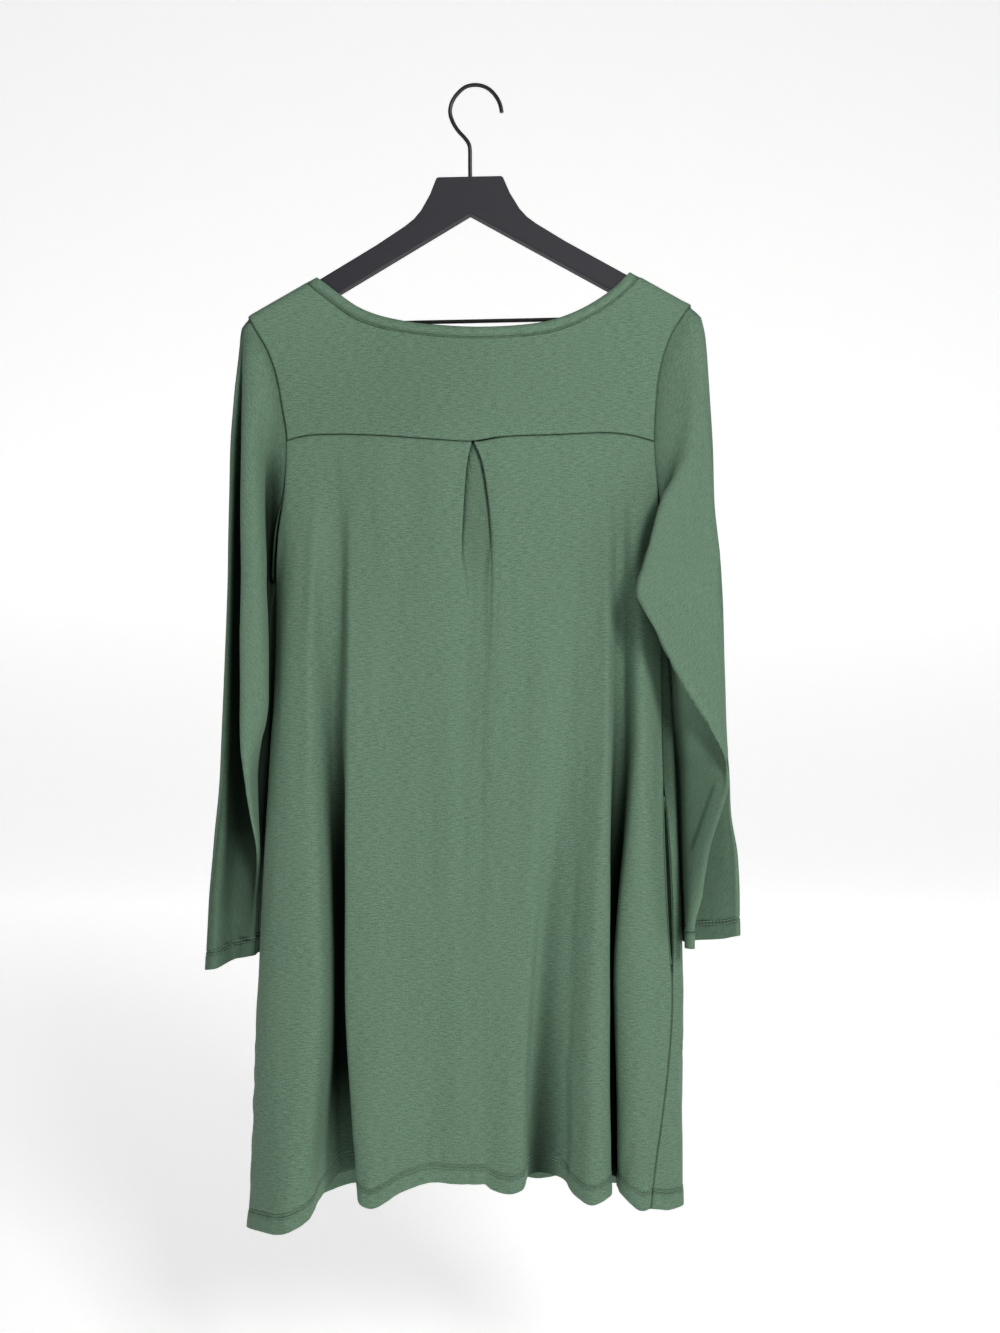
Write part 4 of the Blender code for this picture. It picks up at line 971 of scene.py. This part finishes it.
# Depths between which painted shade darkens a sleeve's creases, and how dark it is at heights down it
LEFT_CREASE_DEPTHS = (-18.0, -4.0)
LEFT_CREASE_SHADE = ((219, 0), (250, 0.2), (340, 0.6), (420, 0.95), (695, 0.97), (750, 0.4),
                     (790, 0.22), (836, 0.18))
RIGHT_CREASE_DEPTHS = (-37.0, -27.0)
RIGHT_CREASE_SHADE = ((208, 0), (590, 0), (640, 0.38), (740, 0.38), (818, 0.34))
# How much painted shade darkens the left forearm's face, and how far below the origin that begins
FOREARM_SHADE = 0.22
FOREARM_SHADE_BEGINS = 690.0
# A sharp crease across the right forearm, drawn only as a line of painted shade: its two ends as x and z,
# how dark and how wide it is
FOREARM_CREASE = ((225, -652), (199, -730))
FOREARM_CREASE_SHADE = 0.3
FOREARM_CREASE_WIDTH = 1.6
# The strip outside the right sleeve's crest: its shade down the sleeve, and across its columns
STRIP_SHADE = ((208, 0), (290, 0), (360, 0.3), (560, 0.3), (640, 0), (818, 0))
STRIP_PROFILE = (0, 0.3, 0.7, 1, 1, 1, 1, 0.7, 0.3)
# Columns without crease shade at the outer edge, and columns with it behind the inner edge
EDGE_COLUMNS = 2
BEHIND_COLUMNS = 7


def seam_end(armhole, z, way, fullness):
    """Place on an armhole seam at a height, and at its underarm below that."""
    top, bottom = armhole[0][0], armhole[-1][0]
    yoke_z = YOKE_SEAM[0][1] if armhole is ARMHOLE_LEFT else YOKE_SEAM[-1][1]
    share = (z - top) / (yoke_z - top) if z > yoke_z else 1 + min((z - yoke_z) / (bottom - yoke_z), 1)
    return armhole_points(armhole, [share], way, fullness)[0, :2]


def line_at(line, z):
    """A sleeve line's values at a height."""
    knots = np.array(line, float)
    return np.array([through(-knots[:, 0], knots[:, k], -z) for k in range(1, knots.shape[1])])


def near_and_far(near_lines, inner_edge, far_depth, far_past, armhole, z):
    """The near and far halves of a sleeve section, both from the outer edge to the inner one."""
    corners = [line_at(line, z) for line in near_lines]
    inner = np.array([line_at(inner_edge, z)[0], 0.0])
    far_y = line_at(far_depth, z)[0]
    below = eased((armhole[-1][0] - z) / 35.0)
    near_end = seam_end(armhole, z, -1, BACK_FULLNESS) * (1 - below) + inner * below
    far_end = seam_end(armhole, z, 1, FRONT_FULLNESS) * (1 - below) + inner * below
    far_x = far_end[0] - math.copysign(line_at(far_past, z)[0], inner[0])
    far_corners = [corners[0]]
    for across, depth in ((0.3, 0.9), (0.65, 1.0), (0.85 + 0.15 * below, 0.85)):
        far_corners.append((corners[0][0] + (far_x - corners[0][0]) * across, far_y * depth))
    return rounded([*corners, near_end], 6), rounded([*far_corners, far_end], 6)


def sleeve_grid(lines, armhole, cuff, side):
    """A sleeve as rings that start on the armhole and end at the cuff."""
    steps = np.linspace(0, 1, HALF_RING)
    top, bottom = armhole[0][0], armhole[-1][0]
    starts = {}
    for way, fullness in ((-1, BACK_FULLNESS), (1, FRONT_FULLNESS)):
        # The edge is tucked inside the body's edge, and stands beside it at the underarm
        place = armhole_points(armhole, 2 * steps, way, fullness)
        middle = np.clip(place[:, 2], bottom + 12, top - 12)
        inward = -unit(np.stack([0 * middle, place[:, 1], place[:, 2] - middle], axis=-1))
        beside = eased((2 * steps - 1.1) / 0.6)
        tuck = EDGE_TUCK * (0.3 + 0.7 * eased(2 * steps / 0.2))
        place += inward * (tuck * (1 - beside))[:, None]
        place[:, 0] += side * (UNDERARM_GAP * beside - EDGE_LAP * (1 - beside))
        starts[way] = place
    ring = [(i, -1) for i in range(HALF_RING)] + [(i, 1) for i in range(HALF_RING - 2, -1, -1)]
    heights = np.linspace(top, min(cuff), 320)
    sections = [near_and_far(*lines, armhole, z) for z in heights]
    sections = [[(half, path_lengths(half)) for half in pair] for pair in sections]
    grid = np.empty((len(SLEEVE_ROWS), len(ring), 3))
    for row, t in enumerate(SLEEVE_ROWS):
        for column, (i, way) in enumerate(ring):
            start = starts[way][i]
            evenly = steps[i]
            z = start[2] + (cuff[0] + (cuff[1] - cuff[0]) * evenly - start[2]) * t
            reach = min((z - top) / (bottom - top), 1.0)
            on_seam = min((start[2] - top) / (bottom - top) / max(reach, 1e-6), 1.0)
            across = on_seam + (evenly - on_seam) * eased(t / 0.3)
            level = (top - z) / (top - heights[-1]) * (len(heights) - 1)
            below = min(int(level), len(heights) - 2)
            places = []
            for k in (below, below + 1):
                curve, lengths = sections[k][0 if way < 0 else 1]
                places.append([np.interp(across * lengths[-1], lengths, curve[:, j]) for j in (0, 1)])
            share = level - below
            place = np.array(places[0]) * (1 - share) + np.array(places[1]) * share
            leave = eased(t / 0.016)
            grid[row, column, :2] = start[:2] + (place - start[:2]) * leave
            grid[row, column, 2] = z
    return grid


def sleeve(name, node, grid, crease_shade, outward, seed):
    down = flat_lengths(grid)[1]
    above_cuff = down[-1:] - down
    relief = (ripples(grid, seed, 14, 70, 1.0) + ripples(grid, seed + 3, 6, 22, 0.5)
              * np.exp(-(above_cuff - 16) ** 2 / 700))
    relief = relief * eased(down / 15) + ditch(down, 0.3) + hem_relief(above_cuff)
    relief[:, -1] = relief[:, 0]
    # Painted shade beside the armhole seam, in the cuff's furrows and in the creases
    shade = np.clip(0.6 * nearness(down, 0.8) + hem_shade(above_cuff) + crease_shade, 0, 0.9)
    normals = grid_normals(grid, outward)
    normals[:, [0, -1]] = unit(normals[:, :1] + normals[:, -1:])
    cloth = grid + normals * relief[..., None]
    piece = dress_cloth(name, cloth, shade, jersey, tube=True)
    rows = hem_rows(name, cloth, normals, above_cuff, 0.5 * crease_shade)
    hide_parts(node)
    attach(piece, "root")


left_lines = (LEFT_NEAR_LINES, LEFT_INNER_EDGE, LEFT_FAR_DEPTH, LEFT_FAR_PAST)
left_grid = sleeve_grid(left_lines, ARMHOLE_LEFT, LEFT_CUFF, -1)
right_lines = (RIGHT_NEAR_LINES, RIGHT_INNER_EDGE, RIGHT_FAR_DEPTH, RIGHT_FAR_PAST)
right_grid = sleeve_grid(right_lines, ARMHOLE_RIGHT, RIGHT_CUFF, 1)


def creases(grid, depths, shades):
    """Painted shade of a sleeve's creases on its near half and the turned-in edge beside the body."""
    dark = np.interp(-grid[..., 2], *zip(*shades))
    dark = dark * eased((grid[..., 1] - depths[0]) / (depths[1] - depths[0]))
    dark[:, :EDGE_COLUMNS] = 0
    dark[:, HALF_RING + BEHIND_COLUMNS:] = 0
    return dark


left_crease_shade = creases(left_grid, LEFT_CREASE_DEPTHS, LEFT_CREASE_SHADE)
# Painted shade: the left forearm's face lies back behind the body's edge, and is darkened as if in its shade
left_heights = left_grid[:, 1:HALF_RING, 2]
left_crease_shade[:, 1:HALF_RING] += FOREARM_SHADE * eased((-left_heights - FOREARM_SHADE_BEGINS) / 80)
right_crease_shade = creases(right_grid, RIGHT_CREASE_DEPTHS, RIGHT_CREASE_SHADE)
# The painted shade on the far half's edge behind the body is doubled
right_crease_shade[:, HALF_RING:HALF_RING + BEHIND_COLUMNS] *= 2
crease_start, crease_end = np.array(FOREARM_CREASE, float)
crease_line = crease_end - crease_start
from_start = right_grid[..., [0, 2]] - crease_start
beside_crease = (from_start @ (crease_line[1], -crease_line[0])) / np.linalg.norm(crease_line)
along_crease = from_start @ crease_line / (crease_line @ crease_line)
crease_part = eased(along_crease / 0.2) * eased((1 - along_crease) / 0.2)
painted_crease_shade = FOREARM_CREASE_SHADE * nearness(beside_crease, FOREARM_CREASE_WIDTH) * crease_part
right_crease_shade[:, :HALF_RING] += painted_crease_shade[:, :HALF_RING]
# The right sleeve's narrow strip outside its crest is painted a little darker than its face, as shade
strip = right_grid[:, :len(STRIP_PROFILE), 2]
right_crease_shade[:, :len(STRIP_PROFILE)] += np.interp(-strip, *zip(*STRIP_SHADE)) * STRIP_PROFILE
sleeve("jersey_left_sleeve", "sleeve_left", left_grid, left_crease_shade, -1, 2.2)
sleeve("jersey_right_sleeve", "sleeve_right", right_grid, right_crease_shade, 1, 6.4)


# Neckband
# A folded strip of the jersey bound round the neck edge, a little thicker and rounder than the cloth.
# Its lower edge is sewn down and topstitched just above the seam.
NECK_SEAM = 0.2
BAND_THICK = 1.6
BAND_TALL = 10.8
BAND_STITCH = 2.5
# Steps up the band: share of its height, and how far it bulges outwards
BAND_STEPS = ((0.0, -0.3), (0.06, 0.3), (0.13, 0.7), (0.2, 0.5), (0.25, 0.2), (0.3, 0.6), (0.38, 1.2),
              (0.48, 1.6), (0.6, 1.8), (0.72, 1.6), (0.84, 1.1), (0.93, 0.4), (1.0, -0.5))

back_edge = yoke_grid[0, yoke_neck_columns[0]:yoke_neck_columns[1] + 1]
front_edge = front_grid[0, front_neck_columns[0]:front_neck_columns[1] + 1][::-1]
neck_edge = np.concatenate([back_edge, front_edge[1:-1]])
corner_columns = (0, len(back_edge) - 1)
for column in corner_columns:
    neck_edge[column, 1] = 0.0
band = np.empty((len(BAND_STEPS), len(neck_edge), 3))
for i, place in enumerate(neck_edge):
    tangent = unit(neck_edge[(i + 1) % len(neck_edge)] - neck_edge[i - 1])
    on_back = i <= corner_columns[1]
    over_opening = np.array([-tangent[2], 0, tangent[0]]) * (1 if on_back else -1)
    gaps = [np.linalg.norm(neck_edge[column] - place) for column in corner_columns]
    over_arm = np.array([1 if gaps[0] < gaps[1] else -1, 0, NECK_SLOPE])
    away = eased((min(gaps) - 4) / 20)
    rise = unit(unit(over_arm) * (1 - away) + over_opening * away)
    across_seam = max(np.linalg.norm(np.cross(rise, tangent)), 0.5)
    outward = np.cross(rise, tangent)
    outward = unit(outward) * np.sign(outward[1] * (-1 if on_back else 1) + 1e-9)
    for r, (up, bulge) in enumerate(BAND_STEPS):
        height = NECK_SEAM / across_seam + up * (BAND_TALL - NECK_SEAM)
        band[r, i] = place + rise * height + outward * bulge * away
band = np.concatenate([band, band[:, :1]], axis=1)[::-1]
up_band = flat_lengths(band)[1]
up_band = up_band[-1:] - up_band
# Painted shade along the band's seam and its row of topstitching
at_seam = 0.85 * nearness(up_band, 0.9)
at_stitches = 0.7 * nearness(up_band - BAND_STITCH, 0.8)
band_shade = np.clip(at_seam + at_stitches, 0, 0.9)
neckband = dress_cloth("jersey_neckband", band, band_shade, jersey, tube=True, thick=BAND_THICK)
band_normals = grid_normals(band, 1)
band_normals *= np.sign((band_normals[..., 1] * band[..., 1]).sum())
band_row = stitching("neckband_stitches", band, band_normals, up_band, band_shade, BAND_STITCH, BAND_THICK)
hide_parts("neckband")
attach(neckband, "root")


# Pockets
# Bags of a thinner jersey, sewn into the side seams behind their open mouths. Only the right
# mouth's slit shows, so they are plain.
BAG_THICK = 1.0
# How far in from the mouth the bag turns into the dress
BAG_TURN = 12.0
BAG_DROP = 60.0
BAG_MIDDLE_Y = 5.0
BAG_SIDES = 40
# Bag rings from the mouth inwards: reach into the dress, height against the mouth, half thickness
BAG_RINGS = (
    (1.4, 0.88, 3.3), (6.0, 0.90, 3.7), (14.0, 0.95, 4.0), (26.0, 1.0, 3.4), (38.0, 1.05, 2.6),
    (58.0, 1.09, 2.4), (78.0, 1.12, 2.4), (92.0, 1.07, 2.4), (104.0, 1.0, 2.2), (111.0, 0.88, 2.0),
    (116.0, 0.72, 1.5), (118.0, 0.5, 0.8),
)


def on_column(grid, column, share):
    """Place on a column of a skirt grid at a share of the way down."""
    return np.array([np.interp(share, SKIRT_ROWS, grid[:, column, k]) for k in range(3)])


def pocket_rings(edge, beside, into, inward):
    """Rings of a bag behind a side seam: it leaves the mouth one way, then runs into the dress."""
    middle = (MOUTH_TOP + MOUTH_BOTTOM) / 2
    half = (MOUTH_BOTTOM - MOUTH_TOP) / 2
    rings = []
    for reach, tall, half_thick in BAG_RINGS:
        ring = []
        for angle in np.linspace(0, 2 * math.pi, BAG_SIDES + 1):
            share = middle - half * tall * math.cos(angle)
            seam = (on_column(back_skirt, edge, share) + on_column(front_skirt, edge, share)) / 2
            across = on_column(front_skirt, beside, share) - on_column(back_skirt, beside, share)
            across = unit(across * (1, 1, 0))
            turned = eased((reach - BAG_TURN) / 26)
            out = unit(across * (1 - turned) + np.array([0, turned, 0]))
            spot = seam + np.array(into) * min(reach, BAG_TURN)
            spot = spot + np.array([inward, 0, 0]) * max(reach - BAG_TURN, 0)
            spot[1] += (BAG_MIDDLE_Y - spot[1]) * eased((reach - 8) / 50)
            spot[2] -= BAG_DROP * eased(reach / 120)
            ring.append(spot + out * half_thick * math.sin(angle))
        ring[-1] = ring[0]
        rings.append(ring)
    return np.array(rings)


pocket_jersey, pocket_shader = new_material("green_pocket_jersey", "#5F7F67", 0.75)
tree = pocket_jersey.node_tree
flat_cloth = add_node(tree, "ShaderNodeUVMap", uv_map="flat_cloth").outputs["UV"]
loops = speckle(tree, flat_cloth, 700.0, 3.0)
tone = between(tree, loops, linear("#557459"), linear("#6A8A70"))
tree.links.new(tone, pocket_shader.inputs["Base Color"])
add_bump(tree, pocket_shader, loops, 0.3, 0.0004)

bags = (
    ("left_pocket_bag", "pocket_left", pocket_rings(0, 3, (1, 0, 0), 1)),
    ("right_pocket_bag", "pocket_right", pocket_rings(-1, -4, (0, 1, 0), -1)),
)
for name, node, rings in bags:
    bag = dress_cloth(name, rings, np.zeros(rings.shape[:2]), pocket_jersey, tube=True, thick=BAG_THICK)
    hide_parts(node)
    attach(bag, "root")
